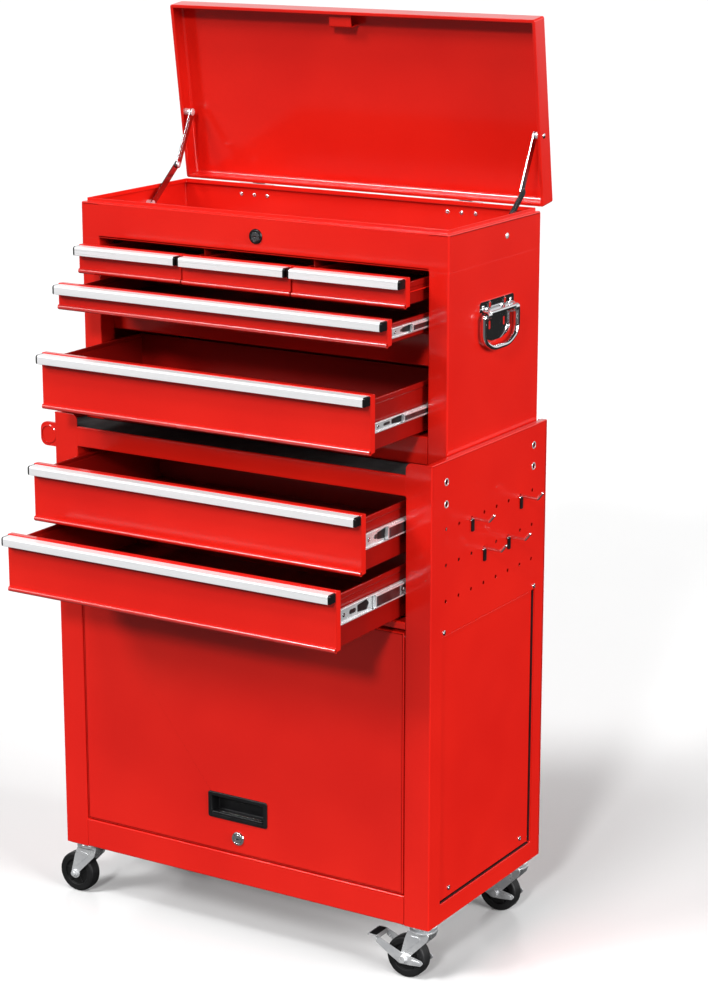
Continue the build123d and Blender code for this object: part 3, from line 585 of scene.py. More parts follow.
for side, fn, bolt_r in (("left", ident, 3.3), ("right", mx, 3.6)):
    b = Build()
    holes = [circle(PEG_Y0 + i * PEG_DY, PEG_Z0 + k * PEG_DZ, 2.6, 14) for i in range(PEG_NY) for k in range(PEG_NZ)]
    holes += [circle(y, z, bolt_r, 18) for y in BOLT_Y for z in BOLT_Z]
    holes.append(list(reversed(rect(ACC_Y[0], ACC_Y[1], ACC_Z[0], ACC_Z[1], 3.0))))
    b.add(prism([(2.4, 0), (D, 0), (D, SIDE_H - 1.6), (2.4, SIDE_H - 1.6)], "x", 0, T, holes), RED, fn)
    # front corner, stile face and its return are one bend, run up the cabinet
    b.add(fold([(0.5, 2.6), (0.5, 0.5), (STILE - 0.5, 0.5), (STILE - 0.5, STILE_D)], "z", 0.0, 602.4, 1.0, [1.8, 1.6]), RED, fn)
    top = rounded([(2.5, 602.0), (STILE, 602.0), (STILE, SIDE_H), (2.5, SIDE_H)], [0, 0, 9.0, 0], 7)
    b.add(prism(top, "y", 0.03, T - 0.03), RED, fn)
    b.add(fold([(0.5, 3.0), (0.5, 0.5), (6.0, 0.5)], "z", 602.0, SIDE_H - 1.2, 1.0, 1.8), RED, fn)
    # rolled top edge, back and bottom hems
    b.add(fold([(0.5, SIDE_H - 2.2), (0.5, SIDE_H - 0.5), (9.0, SIDE_H - 0.5), (9.0, SIDE_H - 3.5)], "y", 0.4, D - 0.4, 1.0, [1.3, 0.8]), RED, fn)
    b.add(fold([(0.5, D - 3.0), (0.5, D - 0.5), (14.0, D - 0.5)], "z", 0.0, SIDE_H - 1.2, 1.0, 1.6), RED, fn)
    b.add(box(T, 14.0, 2.0, D - 1.5, 0.0, T), RED, fn)
    b.make("side_panel_%s_skin" % side, "frame", "side_panel_" + side, "red_steel", 0.28)

    # recessed access cover with a pressed border
    b = Build()
    y0, y1, z0, z1 = ACC_Y[0] + 0.6, ACC_Y[1] - 0.6, ACC_Z[0] + 0.6, ACC_Z[1] - 0.6
    yz = lambda a, c, h: (h, a, c)
    b.add(loft(y0, y1, z0, z1, 3.0, [(6.5, 4.1), (3.1, 4.1), (2.6, 4.6), (2.6, 6.0), (0.0, 6.0), (0.0, 1.5), (-0.6, 1.05), (-5.5, 1.05), (-5.5, 6.8)], 5, yz), RED, fn)
    # black strips in the gap round the cover: dark pieces put in the groove as painted shade
    for ya, yb, za, zb in ((y0 + 0.2, y0 + 2.4, z0 + 3.0, z1 - 3.0), (y1 - 2.4, y1 - 0.2, z0 + 3.0, z1 - 3.0), (y0 + 3.0, y1 - 3.0, z0 + 0.2, z0 + 1.8)):
        b.add(box(2.2, 6.2, ya, yb, za, zb), BLACK, fn)
    b.make("access_panel_" + side, "frame", ("access_panels",), "red_steel", 0.25)

# back, with two pressed ribs, and the underside
b = Build()
b.add(prism(rect(1.2, W - 1.2, 2.0, 627.8), "y", D - 2.0, D - T), RED)
for z in (150.0, 320.0, 490.0):
    b.add(loft(70, W - 70, z - 12, z + 12, 12.0, [(0.0, D - 1.2), (0.0, D - 0.9), (3.0, D - 0.35), (3.5, D - 0.3)], 6, lambda a, c, h: (a, h, c)), RED)
b.make("cabinet_back_panel", "frame", "cabinet_back", "red_steel", 0.25)

CASTER_X, CASTER_Y = (24.0, 591.0), (28.0, 292.0)
b = Build()
# the cabinet floor in the darker red: painted shade inside the cabinet
b.add(prism(rect(1.2, W - 1.2, 1.2, D - 2.2), "z", T, 2 * T, [list(reversed(circle(x + dx, y + dy, 3.0, 16))) for x in CASTER_X for y in CASTER_Y for dx in (-15, 15) for dy in (-18, 18)]), RED_PAINTED_SHADE)
b.add(fold([(6.0, 0.5), (0.5, 0.5), (0.5, 42.5), (14.0, 42.5), (14.0, 36.0)], "x", STILE, W - STILE, 1.0, [1.6, 1.6, 1.2]), RED)
b.make("cabinet_floor_and_toe", "frame", "cabinet_base", "red_steel", 0.28)

# tray top with the front rail, and the rail over the door
b = Build()
b.add(box(1.2, W - 1.2, 1.6, D - 1.2, 628.0, 629.0), RED)
b.add(fold([(STILE_D, 603.3), (0.5, 603.3), (0.5, 631.0), (3.4, 631.0), (3.4, 627.0)], "x", STILE, W - STILE, 1.0, [1.6, 1.3, 0.9]), RED)
b.make("cabinet_tray", "frame", "cabinet_top_tray", "red_steel", 0.28)
b = Build()
b.add(fold([(6.0, 421.5), (0.5, 421.5), (0.5, 431.0), (21.5, 431.0), (21.5, 421.5)], "x", STILE, W - STILE, 1.0, [1.2, 1.6, 1.2]), RED)
b.make("door_header", "frame", "door_header_rail", "red_steel", 0.28)

# ribbed mat in the tray
b = Build()
b.add(box(2.4, W - 2.4, 3.6, D - 3.4, 629.0, 630.2), MAT)
y = 5.0
while y < 57.0:
    b.add(fold([(y, 630.0), (y + 1.3, 630.9), (y + 2.6, 630.0)], "x", 3.0, W - 3.0, 0.2, 0.4, 2), MAT)
    y += 3.6
b.make("ribbed_tray_mat", "frame", "tray_mat", "mat_rubber", 0.12)

# ---------------------------------------------------------------------- door
DHW, DZ0, DZ1, DT = 266.7, 44.6, 416.5, 15.0
dx0, dx1 = CX - DHW, CX + DHW
PX, PZ = 305.3, 112.5
LX, LZ = 305.3, 68.4
b = Build()
cut = list(reversed(rect(PX - 46, PX + 46, PZ - 16, PZ + 16, 2.5)))
b.add(prism(rect(dx0 + 1.6, dx1 - 1.6, DZ0 + 1.6, DZ1 - 1.6), "y", 0, T, [cut, list(reversed(circle(LX, LZ, 8.6, 28)))]), RED)
# folded edges all round, with the return flange inside
for z, s in ((DZ0, 1), (DZ1, -1)):
    b.add(fold([(0.5, z + s * 3.0), (0.5, z + s * 0.5), (DT - 0.5, z + s * 0.5), (DT - 0.5, z + s * 13.0)], "x", dx0 + 0.8, dx1 - 0.8, 1.0, [1.5, 1.3]), RED)
for x, s in ((dx0, 1), (dx1, -1)):
    b.add(fold([(x + s * 3.0, 0.5), (x + s * 0.5, 0.5), (x + s * 0.5, DT - 0.5), (x + s * 13.0, DT - 0.5)], "z", DZ0 + 0.8, DZ1 - 0.8, 1.0, [1.5, 1.3]), RED)
for s in (-1, 1):
    b.add(lathe([(3.0, 0), (3.0, 4.4), (2.4, 5.0)], "x", (CX + s * (DHW - 0.6), 7.0, 409.5), 20) if s > 0 else lathe([(3.0, 0), (3.0, -4.4), (2.4, -5.0)], "x", (CX - DHW + 0.6, 7.0, 409.5), 20), ZINC)
b.make("door_shell", "door", "door", "red_steel", 0.28)

# moulded recessed pull
b = Build()
xz = lambda a, c, h: (a, h, c)
b.add(loft(PX - 49.5, PX + 49.5, PZ - 19.3, PZ + 19.3, 3.6,
           [(3.9, 16.8), (3.9, 0.2), (0.0, 0.2), (0.0, -1.5), (0.5, -2.2), (1.2, -2.6), (4.6, -2.6), (5.6, -2.3), (6.2, -1.4), (6.5, 0.0), (7.0, 12.0), (8.0, 14.4), (9.4, 15.2)], 5, xz), BLACK)
# the grip lip inside the opening, with a thin chrome bar along its edge
b.add(fold([(-2.0, PZ - 13.2), (-2.0, PZ - 10.4), (0.4, PZ - 9.4), (5.4, PZ - 9.4), (5.9, PZ - 12.6)], "x", PX - 42.6, PX + 42.6, 0.9, [1.0, 1.0, 1.0]), BLACK_GLOSS)
b.add(tube([(PX - 30.0, 0.6, PZ - 8.9), (PX + 38.0, 0.6, PZ - 8.9)], 0.75, 10), CHROME)
b.make("door_pull_moulding", "door", "door_pull", "black_plastic", 0.25)


def lock(cx, y0, cz, face, core, barrel_body, plug_body, nb, npl, nodes):
    b = Build()
    b.add(ring([(6.62, y0 - 2.0), (7.1, y0 - 2.6), (9.0, y0 - 2.6), (9.9, y0 - 2.0), (10.4, y0 - 0.9), (10.4, y0), (8.5, y0), (8.5, y0 + 20), (6.62, y0 + 20)], "y", (cx, 0, cz), 40), face)
    hexa = [(cx + 12 * cos(pi / 6 + i * pi / 3), cz + 12 * sin(pi / 6 + i * pi / 3)) for i in range(6)]
    b.add(prism(hexa, "y", y0 + 1.0, y0 + 5.0, [list(reversed(circle(cx, cz, 8.3, 30)))]), ZINC)
    for i in range(7):
        z = y0 + 6.0 + i * 2.0
        b.add(ring([(8.4, z), (8.75, z + 0.5), (8.4, z + 1.0)], "y", (cx, 0, cz), 30), ZINC)
    b.make(nb, barrel_body, nodes[0], "chrome", 0.2)
    b = Build()
    slot_pts = [(cx - 4.0, cz - 0.55), (cx - 0.8, cz - 0.55), (cx - 0.8, cz - 1.3), (cx + 0.6, cz - 1.3), (cx + 0.6, cz - 0.55), (cx + 4.0, cz - 0.55),
                (cx + 4.0, cz + 0.55), (cx + 1.4, cz + 0.55), (cx + 1.4, cz + 1.1), (cx - 1.0, cz + 1.1), (cx - 1.0, cz + 0.55), (cx - 4.0, cz + 0.55)]
    b.add(prism(circle(cx, cz, 6.1, 40), "y", y0 - 2.8, y0 + 1.5, [list(reversed(slot_pts))]), core)
    b.add(ring([(6.0, y0 - 1.6), (6.5, y0 - 2.0), (6.5, y0 + 21.5), (6.0, y0 + 21.5)], "y", (cx, 0, cz), 40), CHROME)
    b.add(lathe([(6.0, y0 + 1.4), (6.0, y0 + 20.4)], "y", (cx, 0, cz), 30), STEEL_DARK)
    reach = 32.0 if y0 < 1 else 24.0
    b.add(prism(rounded([(cx - 7, cz - 6), (cx + reach, cz - 6), (cx + reach, cz + 6), (cx - 7, cz + 6)], [5.5, 3.0, 3.0, 5.5]), "y", y0 + 20.4, y0 + 21.9), ZINC)
    b.make(npl, plug_body, nodes[1], "chrome", 0.2)


lock(LX, 0.0, LZ, CHROME, CHROME, "door", "door_lock", "door_lock_bezel", "door_lock_cylinder", ("door_lock_barrel", "door_lock_plug"))
lock(305.3, 59.2, 914.3, BLACK_GLOSS, PLUG, "frame", "chest_lock", "chest_lock_bezel", "chest_lock_cylinder", ("chest_lock_barrel", "chest_lock_plug"))

# --------------------------------------------------------------------- chest
C0, C1, CY0, CY1, CZ0, CZ1, OPEN = 11.3, 603.7, 59.2, 312.6, 631.0, 940.3, 266.0
b = Build()
for fn in (ident, mx):
    # side, front corner, stile and its return in one run
    b.add(fold([(C0 + 0.5, CY1 - 3.0), (C0 + 0.5, CY0 + 0.5), (CX - OPEN - 0.5, CY0 + 0.5), (CX - OPEN - 0.5, CY0 + STILE_D)], "z", CZ0, 890.0, 1.0, [2.2, 1.5]), RED, fn)
    b.add(fold([(C0 + 0.5, CY1 - 3.0), (C0 + 0.5, CY0 + 0.5), (CX - OPEN, CY0 + 0.5)], "z", 889.9, CZ1 - 1.6, 1.0, 2.2), RED, fn)
b.add(fold([(C0 + 0.5, CY1 - 3.4), (C0 + 0.5, CY1 - 0.5), (C1 - 0.5, CY1 - 0.5), (C1 - 0.5, CY1 - 3.4)], "z", CZ0, CZ1 - 1.6, 1.0, 2.0), RED)
# the chest floor in the darker red: painted shade inside the chest
b.add(box(C0 + 1, C1 - 1, CY0 + 1, CY1 - 1, CZ0, CZ0 + T), RED_PAINTED_SHADE)


# the rim: outside shoulder, flat shelf and upright lip, run round the four sides
def rim(x0, x1, y0, y1, R):
    prof = [(0.0, CZ1 - 3.0), (0.0, CZ1 - 1.5), (0.45, CZ1 - 0.45), (1.5, CZ1), (5.3, CZ1), (5.6, CZ1 + 0.6), (5.6, CZ1 + 4.4), (5.9, CZ1 + 4.9), (6.4, CZ1 + 4.9),
            (6.6, CZ1 + 4.4), (6.6, CZ1 - 0.9), (1.2, CZ1 - 1.0), (1.0, CZ1 - 3.0)]
    n, v, faces = 6, [], []
    k = 4 * (n + 1)
    for d, h in prof:
        v += [(p[0], p[1], h) for p in rect_loop(x0 + d, x1 - d, y0 + d * (1.36 if d > 2 else 1), y1 - d, R - d * 0.7, n)]
    for i in range(len(prof)):
        ii = (i + 1) % len(prof)
        for j in range(k):
            q = (j + 1) % k
            faces.append((i * k + j, i * k + q, ii * k + q, ii * k + j))
    return v, faces


b.add(rim(C0, C1, CY0, CY1, 2.8), RED)
b.make("chest_body", "frame", "chest_shell", "red_steel", 0.28)

ox0, ox1 = CX - OPEN, CX + OPEN
b = Build()
face = prism([(ox0 - 0.6, 891.9), (ox1 + 0.6, 891.9), (ox1 + 0.6, CZ1 - 1.6), (ox0 - 0.6, CZ1 - 1.6)], "y", CY0 - 0.02, CY0 + T - 0.02, [list(reversed(circle(305.3, 914.3, 8.6, 28)))])
b.add(face, RED)
b.add(fold([(CY0 + 0.48, 894.0), (CY0 + 0.48, 891.2), (CY0 + 19.5, 891.2), (CY0 + 19.5, 892.6)], "x", ox0, ox1, 1.0, [1.7, 0.5]), RED)
b.add(fold([(CY0 + 6.0, 632.5), (CY0 + 0.5, 632.5), (CY0 + 0.5, 670.0), (CY0 + 24.5, 670.0), (CY0 + 24.5, 664.0)], "x", ox0, ox1, 1.0, [1.6, 1.7, 1.0]), RED)
b.add(fold([(103.0, 763.0), (103.0, 758.5), (90.1, 758.5), (90.1, 802.5), (103.0, 802.5), (103.0, 798.0)], "x", C0 + 1.0, C1 - 1.0, 1.0, [1.0, 1.7, 1.7, 1.0]), RED)
b.make("chest_rails", "frame", "chest_front_rails", "red_steel", 0.28)

# --------------------------------------------------------------------- lid
LID_A = radians(82.0)
HY, HZ = 318.4, 941.0


def swing(p):
    y, z = p[1] - HY, p[2] - HZ
    a = -LID_A
    return (p[0], HY + y * cos(a) - z * sin(a), HZ + y * sin(a) + z * cos(a))


def to_closed(p):
    y, z = p[0] - HY, p[1] - HZ
    return (HY + y * cos(LID_A) - z * sin(LID_A), HZ + y * sin(LID_A) + z * cos(LID_A))


lx0, lx1, ly0, ly1, lz0, lz1 = CX - 297.6, CX + 297.6, 58.0, 314.4, 940.8, 969.8
R = 2.6
arc = lambda c, r, a0, a1, n: [(c[0] - r * cos(radians(a0 + (a1 - a0) * i / n)), c[1] + r * sin(radians(a0 + (a1 - a0) * i / n))) for i in range(n + 1)]
prof = [(1.0, lz0 + 2.6), (4.0, lz0 + 2.2), (4.6, lz0 + 1.6), (4.6, lz0 + 0.5), (4.1, lz0), (1.0, lz0), (0.3, lz0 + 0.3), (0.0, lz0 + 1.0)]
prof += arc((R, lz1 - R), R, 0, 90, 5)
inner = [(1.0, lz0 + 2.6)] + arc((5.0, lz1 - 5.0), 4.0, 0, 90, 6)


def lid_shell():
    n, v, faces = 6, [], []
    k = 4 * (n + 1)
    full = list(reversed(inner)) + prof[1:]
    for d, h in full:
        v += [(p[0], p[1], h) for p in rect_loop(lx0 + d, lx1 - d, ly0 + d, ly1 - d, 3.2 - d * 0.6, n)]
    for i in range(len(full) - 1):
        for j in range(k):
            q = (j + 1) % k
            faces.append((i * k + j, i * k + q, (i + 1) * k + q, (i + 1) * k + j))
    faces.append(tuple(range(k)))
    o = (len(full) - 1) * k
    faces.append(tuple(range(o + k - 1, o - 1, -1)))
    return v, faces


b = Build()
b.add(lid_shell(), RED, swing)
# the bend between top and rear skirt, inside
bend = [(ly1 - 5.0 + 3.9 * cos(radians(a)), lz1 - 5.0 + 3.9 * sin(radians(a))) for a in range(-6, 97, 8)]
b.add(fold(bend, "x", lx0 + 7.0, lx1 - 7.0, 0.3, raw=True), LIP, swing)
# striker for the lock on the front skirt
b.add(fold([(ly0 + 1.2, lz1 - 20.7), (ly0 + 23.2, lz1 - 20.7), (ly0 + 23.2, lz1 - 1.0)], "x", 294.0 - 18, 294.0 + 18, 1.4, 1.8), RED, swing)
BC = to_closed((314.5, 1042.0))
for fn in (ident, mx):
    b.add(lathe([(5.0, 10.6), (5.0, 21.4), (4.6, 22.1), (2.95, 22.1), (2.95, 24.4), (5.3, 24.4), (5.3, 25.0), (4.4, 25.7), (2.2, 26.0), (0, 26.0)], "x", (0, BC[0], BC[1]), 24), ZINC, lambda p: fn(swing(p)))
    b.add(rivet("x", (lx0 + 0.1, BC[0], BC[1]), -1, 3.8, 1.3), CHROME, lambda p: fn(swing(p)))
b.make("lid_shell", "lid", "lid", "red_steel", 0.2)

# hinges
HINGE_X = (134.6, 480.4)
bf, bmv = Build(), Build()
for x in HINGE_X:
    leaf = rect(x - 30, x + 30, 914, 935, 3.0)
    bf.add(prism(leaf, "y", CY1, CY1 + 1.2, [list(reversed(circle(x + d, 928.3, 2.2, 14))) for d in (-22.4, 0, 22.4)]), ZINC)
    for s in (-1, 1):
        x0, x1 = (x - 30, x - 10.4) if s < 0 else (x + 10.4, x + 30)
        bf.add(fold([(CY1 + 0.6, 933.5), (CY1 + 0.9, 935.0), (HY - 1.0, HZ - 2.5)], "x", x0, x1, 1.2, 1.2), ZINC)
        bf.add(lathe([(2.6, x0), (3.2, x0 + 0.5), (3.2, x1 - 0.5), (2.6, x1)], "x", (0, HY, HZ), 24), ZINC)
    bf.add(lathe([(1.6, x - 30), (1.6, x + 30)], "x", (0, HY, HZ), 16), ZINC)
    bmv.add(prism(rect(x - 30, x + 30, 947.5, 967, 3.0), "y", ly1, ly1 + 1.2), ZINC, swing)
    bmv.add(fold([(ly1 + 0.6, 949.0), (ly1 + 1.0, 948.0), (HY - 0.6, HZ + 2.5)], "x", x - 10, x + 10, 1.2, 1.0), ZINC, swing)
    bmv.add(ring([(1.7, x - 10), (3.2, x - 9.6), (3.2, x + 9.6), (1.7, x + 10)], "x", (0, HY, HZ), 24), ZINC, swing)
bf.make("lid_hinge_lower_leaves", "frame", "lid_hinge_fixed_leaves", "zinc_steel", 0.2)
bmv.make("lid_hinge_upper_leaves", "lid", "lid_hinge_moving_leaves", "zinc_steel", 0.2)

# stays: pressed links with a raised centre rib
SA, SB, SE = (216.0, 919.0), (314.5, 1042.0), (278.0, 969.0)


def link(p, q, x0, x1, w, hole):
    d = Vector((q[0] - p[0], q[1] - p[1]))
    L = d.length
    d /= L
    nn = Vector((-d.y, d.x))
    pts = []
    a = atan2(d.y, d.x)
    for c, s in ((q, a - pi / 2), (p, a + pi / 2)):
        pts += [(c[0] + w * cos(s + pi * i / 10), c[1] + w * sin(s + pi * i / 10)) for i in range(11)]
    hs = [list(reversed(circle(p[0], p[1], hole, 20)))]
    out = [prism(pts, "x", x0, x1, hs)]
    u, v2 = Vector(p) + d * 11, Vector(q) - d * 11
    rib = []
    for c, s in ((v2, a - pi / 2), (u, a + pi / 2)):
        rib += [(c.x + 2.0 * cos(s + pi * i / 6), c.y + 2.0 * sin(s + pi * i / 6)) for i in range(7)]
    out.append(rib)
    return out


bl, bu = Build(), Build()
for fn in (ident, mx):
    s = link(SA, SE, 20.0, 21.5, 5.5, 3.1)
    bl.add(s[0], STAY, fn)
    bl.add(prism(s[1], "x", 19.6, 20.2), STAY, fn)
    s = link(SB, SE, 22.5, 24.0, 5.5, 3.1)
    bu.add(s[0], STAY, fn)
    bu.add(prism(s[1], "x", 23.8, 24.5), STAY, fn)
    bu.add(lathe([(4.6, 22.0), (4.6, 22.6)], "x", (0, SE[0], SE[1]), 20), ZINC, fn)
    bu.add(rivet("x", (24.0, SE[0], SE[1]), 1, 4.2, 1.6), ZINC, fn)
bl.make("stay_lower_pair", "stay_lower", "lid_stay_lower_links", "zinc_steel", 0.25)
bu.make("stay_upper_pair", "stay_upper", "lid_stay_upper_links", "zinc_steel", 0.25)

# ------------------------------------------------------------------- drawers
SIZES = [
    ("drawer_1", CY0, 44.5, 217.1, 848.8, 889.0, 5.0, 222.0, 50.0),
    ("drawer_2", CY0, 220.6, 394.4, 848.8, 889.0, 5.0, 222.0, 52.0),
    ("drawer_3", CY0, 397.9, 570.5, 848.8, 889.0, 5.0, 222.0, 53.0),
    ("drawer_4", CY0, CX - 263, CX + 263, 805.5, 842.0, 5.0, 222.0, 98.0),
    ("drawer_5", CY0, CX - 263, CX + 263, 673.5, 752.0, 5.0, 222.0, 139.0),
    ("drawer_6", 0.0, CX - 264, CX + 264, 519.5, 601.0, 5.5, 284.0, 103.5),
    ("drawer_7", 0.0, CX - 264, CX + 264, 433.5, 514.5, 5.5, 284.0, 164.5),
]
SLIDE_Z = {"drawer_4": 822.0, "drawer_5": 706.5, "drawer_6": 562.5, "drawer_7": 477.5}
UP = dict(box=258.0, i1=262.2, m0=259.6, m1=264.7, o0=262.7, o1=266.4, ow=265.2, h=7.0, f=1.1, side=CX - C0 - T, y0=92.0, y1=300.0)
LO = dict(box=258.5, i1=263.2, m0=260.2, m1=266.2, o0=263.7, o1=268.0, ow=266.8, h=11.0, f=1.4, side=CX - T, y0=33.0, y1=312.0)


def drawer(name, yf, x0, x1, z0, z1, inset, depth, rest):
    y = yf - rest
    b0, b1 = x0 + inset, x1 - inset
    wt = z1 - 8.0
    b = Build()
    # the front is one bent sheet: inner wall, top fold, face, and the lower edge curled forward
    cyc, czc, rr = y - 0.1, z0 + 3.5, 3.0
    curl = [(cyc + rr * cos(radians(a)), czc + rr * sin(radians(a))) for a in range(80, 331, 18)]
    line = path_round([Vector((y + 10.5, z0 + 3.0)), Vector((y + 10.5, z1 - 0.5)), Vector((y + 0.5, z1 - 0.5)), Vector((y + 0.5, z0 + 6.6))], [1.4, 1.4], 4)
    b.add(fold(line + curl, "x", x0, x1, 1.0, raw=True), RED)
    lip = [(cyc + rr * cos(radians(a)), czc + rr * sin(radians(a))) for a in range(104, 270, 12)]
    b.add(fold(lip, "x", x0 + 0.3, x1 - 0.3, 1.12, raw=True), LIP)
    # closed ends of the front, and its bottom
    for x, s in ((x0, 1), (x1, -1)):
        b.add(prism(rounded([(y + 0.6, z0 + 1.6), (y + 10.4, z0 + 2.2), (y + 10.4, z1 - 0.6), (y + 0.6, z1 - 0.6)], [0.5, 0.5, 1.0, 1.0], 3), "x", min(x, x + s), max(x, x + s)), RED)
    b.add(box(x0 + 0.8, x1 - 0.8, y + 2.0, y + 11.0, z0 + 2.0, z0 + 3.0), RED)
    # walls and floor bent from one sheet, with hemmed tops and a bead above the slide, drawn in the darker red as
    # painted shade inside the drawer
    e = 0.9
    wall = lambda s, x: [(x + s * 2.9, wt - 2.6), (x + s * 2.9, wt - 0.5), (x + s * 0.5, wt - 0.5), (x + s * 0.5, wt - 6.5), (x + s * (0.5 + e), wt - 8.0), (x + s * (0.5 + e), z0 + 2.5)]
    L, Rr = wall(1, b0), wall(-1, b1)
    pts = L + list(reversed(Rr))
    b.add(fold(pts, "y", y + 11.0, y + depth, 1.0, [0.7, 0.9, 0.8, 0.8, 1.6, 1.6, 0.8, 0.8, 0.9, 0.7], 3), RED_PAINTED_SHADE)
    # back wall with its own hem and side flanges, also in the darker red as painted shade
    b.add(fold([(y + depth - 0.5, z0 + 3.0), (y + depth - 0.5, wt - 0.5), (y + depth - 3.2, wt - 0.5), (y + depth - 3.2, wt - 2.6)], "x", b0 + 1.2, b1 - 1.2, 1.0, [0.9, 0.7], 3), RED_PAINTED_SHADE)
    b.make(name + "_tray", name, name + "_box", "red_steel", 0.25)

    # runner fins of the three small drawers
    if name in ("drawer_1", "drawer_2", "drawer_3"):
        f = Build()
        for x, s in ((b0, -1), (b1, 1)):
            f.add(fold([(x + s * 0.2, 868.75), (x + s * 3.0, 868.75)], "y", y + 12.5, y + depth, 1.2, 0), RED)
        f.make(name + "_fins", name, (), "red_steel", 0.2)

    # pull: extruded hook with rounded shoulders, and moulded caps
    zt, yp = z1 - 1.0, y - 15.0
    a0, a1 = x0 + 0.5, x1 - 0.5
    out = [(y, zt), (yp, zt), (yp, zt - 12.5), (yp + 1.9, zt - 12.5), (yp + 1.9, zt - 2.3), (y - 1.6, zt - 2.3), (y - 1.6, zt - 12.5), (y, zt - 12.5)]
    out = rounded(out, [0.3, 3.0, 0.9, 0.7, 1.6, 1.2, 0.5, 0.3], 5)
    b = Build()
    b.add(prism(out, "x", a0 + 2.9, a1 - 2.9), ALU)
    cap = rounded([(y, zt), (yp, zt), (yp, zt - 12.5), (y, zt - 12.5)], [0.4, 3.2, 1.6, 0.4], 5)
    small = rounded([(y, zt - 0.6), (yp + 0.6, zt - 0.6), (yp + 0.6, zt - 11.9), (y, zt - 11.9)], [0.4, 2.8, 1.3, 0.4], 5)
    for xa, xb, s in ((a0, a0 + 3.0, 1), (a1, a1 - 3.0, -1)):
        b.add(prism(cap, "x", min(xa + s * 0.7, xb), max(xa + s * 0.7, xb)), BLACK_GLOSS)
        b.add(prism(small, "x", min(xa, xa + s * 0.9), max(xa, xa + s * 0.9)), BLACK_GLOSS)
    b.make(name + "_pull_bar", name, name + "_pull", "pull_aluminium", 0.22)

    if name not in SLIDE_Z:
        return
    g = UP if yf > 0 else LO
    zc, h, f_ = SLIDE_Z[name], g["h"], g["f"]
    t = 1.1 if yf > 0 else 1.3
    xw, xi = CX - g["box"], CX - g["i1"]
    ya, yb = y + 12.0, y + depth
    b = Build()
    for fn in (ident, mx):
        # the member on the drawer: web and two curled flanges
        b.add(fold([(xi + 0.4, zc + h - f_ - 0.5), (xi + 0.4, zc + h - t / 2), (xw - t / 2, zc + h - t / 2), (xw - t / 2, zc - h + t / 2), (xi + 0.4, zc - h + t / 2), (xi + 0.4, zc - h + f_ + 0.5)],
                   "y", ya, yb, t * 0.8, [0.6, 1.3, 1.3, 0.6], 3), ZINC, fn)
        # screws on the web, a punched tab, and the black release lever
        b.add(pan_head("x", (xw - t, ya + 13.0, zc), -1, 2.6 if h < 9 else 3.0, 0.3), CHROME, fn)
        b.add(pan_head("x", (xw - t, yb - 20.0, zc), -1, 2.6 if h < 9 else 3.0, 0.3), CHROME, fn)
        b.add(prism(oval(ya + 34.0, zc, 16.0, h * 0.55), "x", xw - t - 0.25, xw - t + 0.2), STEEL_DARK, fn)
        b.add(box(xw - t - 0.28, xw - t + 0.1, ya + 1.0, ya + 2.6, zc - h + 2.4, zc + h - 2.4), ZINC, fn)
        lv = ya + min(rest * 0.5 - 6.0, 58.0)
        b.add(prism(rounded([(lv - 12, zc - h * 0.42), (lv + 10, zc - h * 0.62), (lv + 16, zc + h * 0.1), (lv + 10, zc + h * 0.62), (lv - 12, zc + h * 0.42)], 1.4, 3), "x", xw - t - 0.28, xw - t + 0.1), BLACK, fn)
    b.make(name + "_slide_drawer_member", name, name + "_slide_inner", "zinc_steel", 0.15)

    ym = yf - rest / 2
    hm = h - f_ - 0.5
    m0, m1 = CX - g["m0"], CX - g["m1"]
    b = Build()
    for fn in (ident, mx):
        y0m, y1m = ym + 12.0, ym + depth - 6.0
        b.add(fold([(m1 + 0.45, zc + hm - 2.2), (m1 + 0.45, zc + hm - 0.45), (m0 - 0.45, zc + hm - 0.45), (m0 - 0.45, zc - hm + 0.45), (m1 + 0.45, zc - hm + 0.45), (m1 + 0.45, zc - hm + 2.2)],
                   "y", y0m, y1m, 0.9, [0.8, 1.2, 1.2, 0.8], 3), ZINC, fn)
        # ball cage at the front end, with its balls
        b.add(box(m1 + 1.1, m0 - 1.2, y0m + 6.0, y0m + 62.0, zc - hm + 1.2, zc + hm - 1.2), STEEL_DARK, fn)
        for i in range(7):
            for s in (-1, 1):
                c = (m1 + 1.2, y0m + 10.0 + i * 8.0, zc + s * (hm - 1.6))
                b.add(lathe([(0, -1.0), (0.6, -0.8), (0.95, -0.3), (0.95, 0.3), (0.6, 0.8), (0, 1.0)], "x", c, 10), CHROME, fn)
        b.add(box(m1 + 0.3, m0 - 0.2, y0m - 0.0, y0m + 2.2, zc - hm + 0.2, zc + hm - 0.2), ZINC, fn)
        b.add(rivet("x", (m1 + 1.3, y0m + 72.0, zc), -1, 2.0, 0.9), ZINC, fn)
    b.make(name + "_slide_middle_member", name + "_slide", name + "_slide_middle", "zinc_steel", 0.12)


for s in SIZES:
    drawer(*s)

# fixed rails, with the mounting brackets to the sides
b = Build()
for name, zc in SLIDE_Z.items():
    g = UP if zc > 640 else LO
    h = g["h"]
    o0, o1 = CX - g["o0"], CX - g["o1"]
    for fn in (ident, mx):
        b.add(fold([(o0 - 0.5, zc + h - 1.7), (o0 - 0.5, zc + h - 0.5), (o1 + 0.55, zc + h - 0.5), (o1 + 0.55, zc - h + 0.5), (o0 - 0.5, zc - h + 0.5), (o0 - 0.5, zc - h + 1.7)],
                   "y", g["y0"], g["y1"], 1.0, [0.5, 1.2, 1.2, 0.5], 3), ZINC, fn)
        for yy in (g["y0"] + 8, g["y1"] - 14):
            b.add(box(CX - g["side"], o1 + 0.2, yy, yy + 2, zc - h, zc + h), ZINC, fn)
b.make("slide_rails", "frame", "slide_outer_rails", "zinc_steel", 0.18)

# ------------------------------------------------------ chest side handles
HHY, HHZ = 187.5, 822.0
axx = 603.7 + 6.4 + 1.5


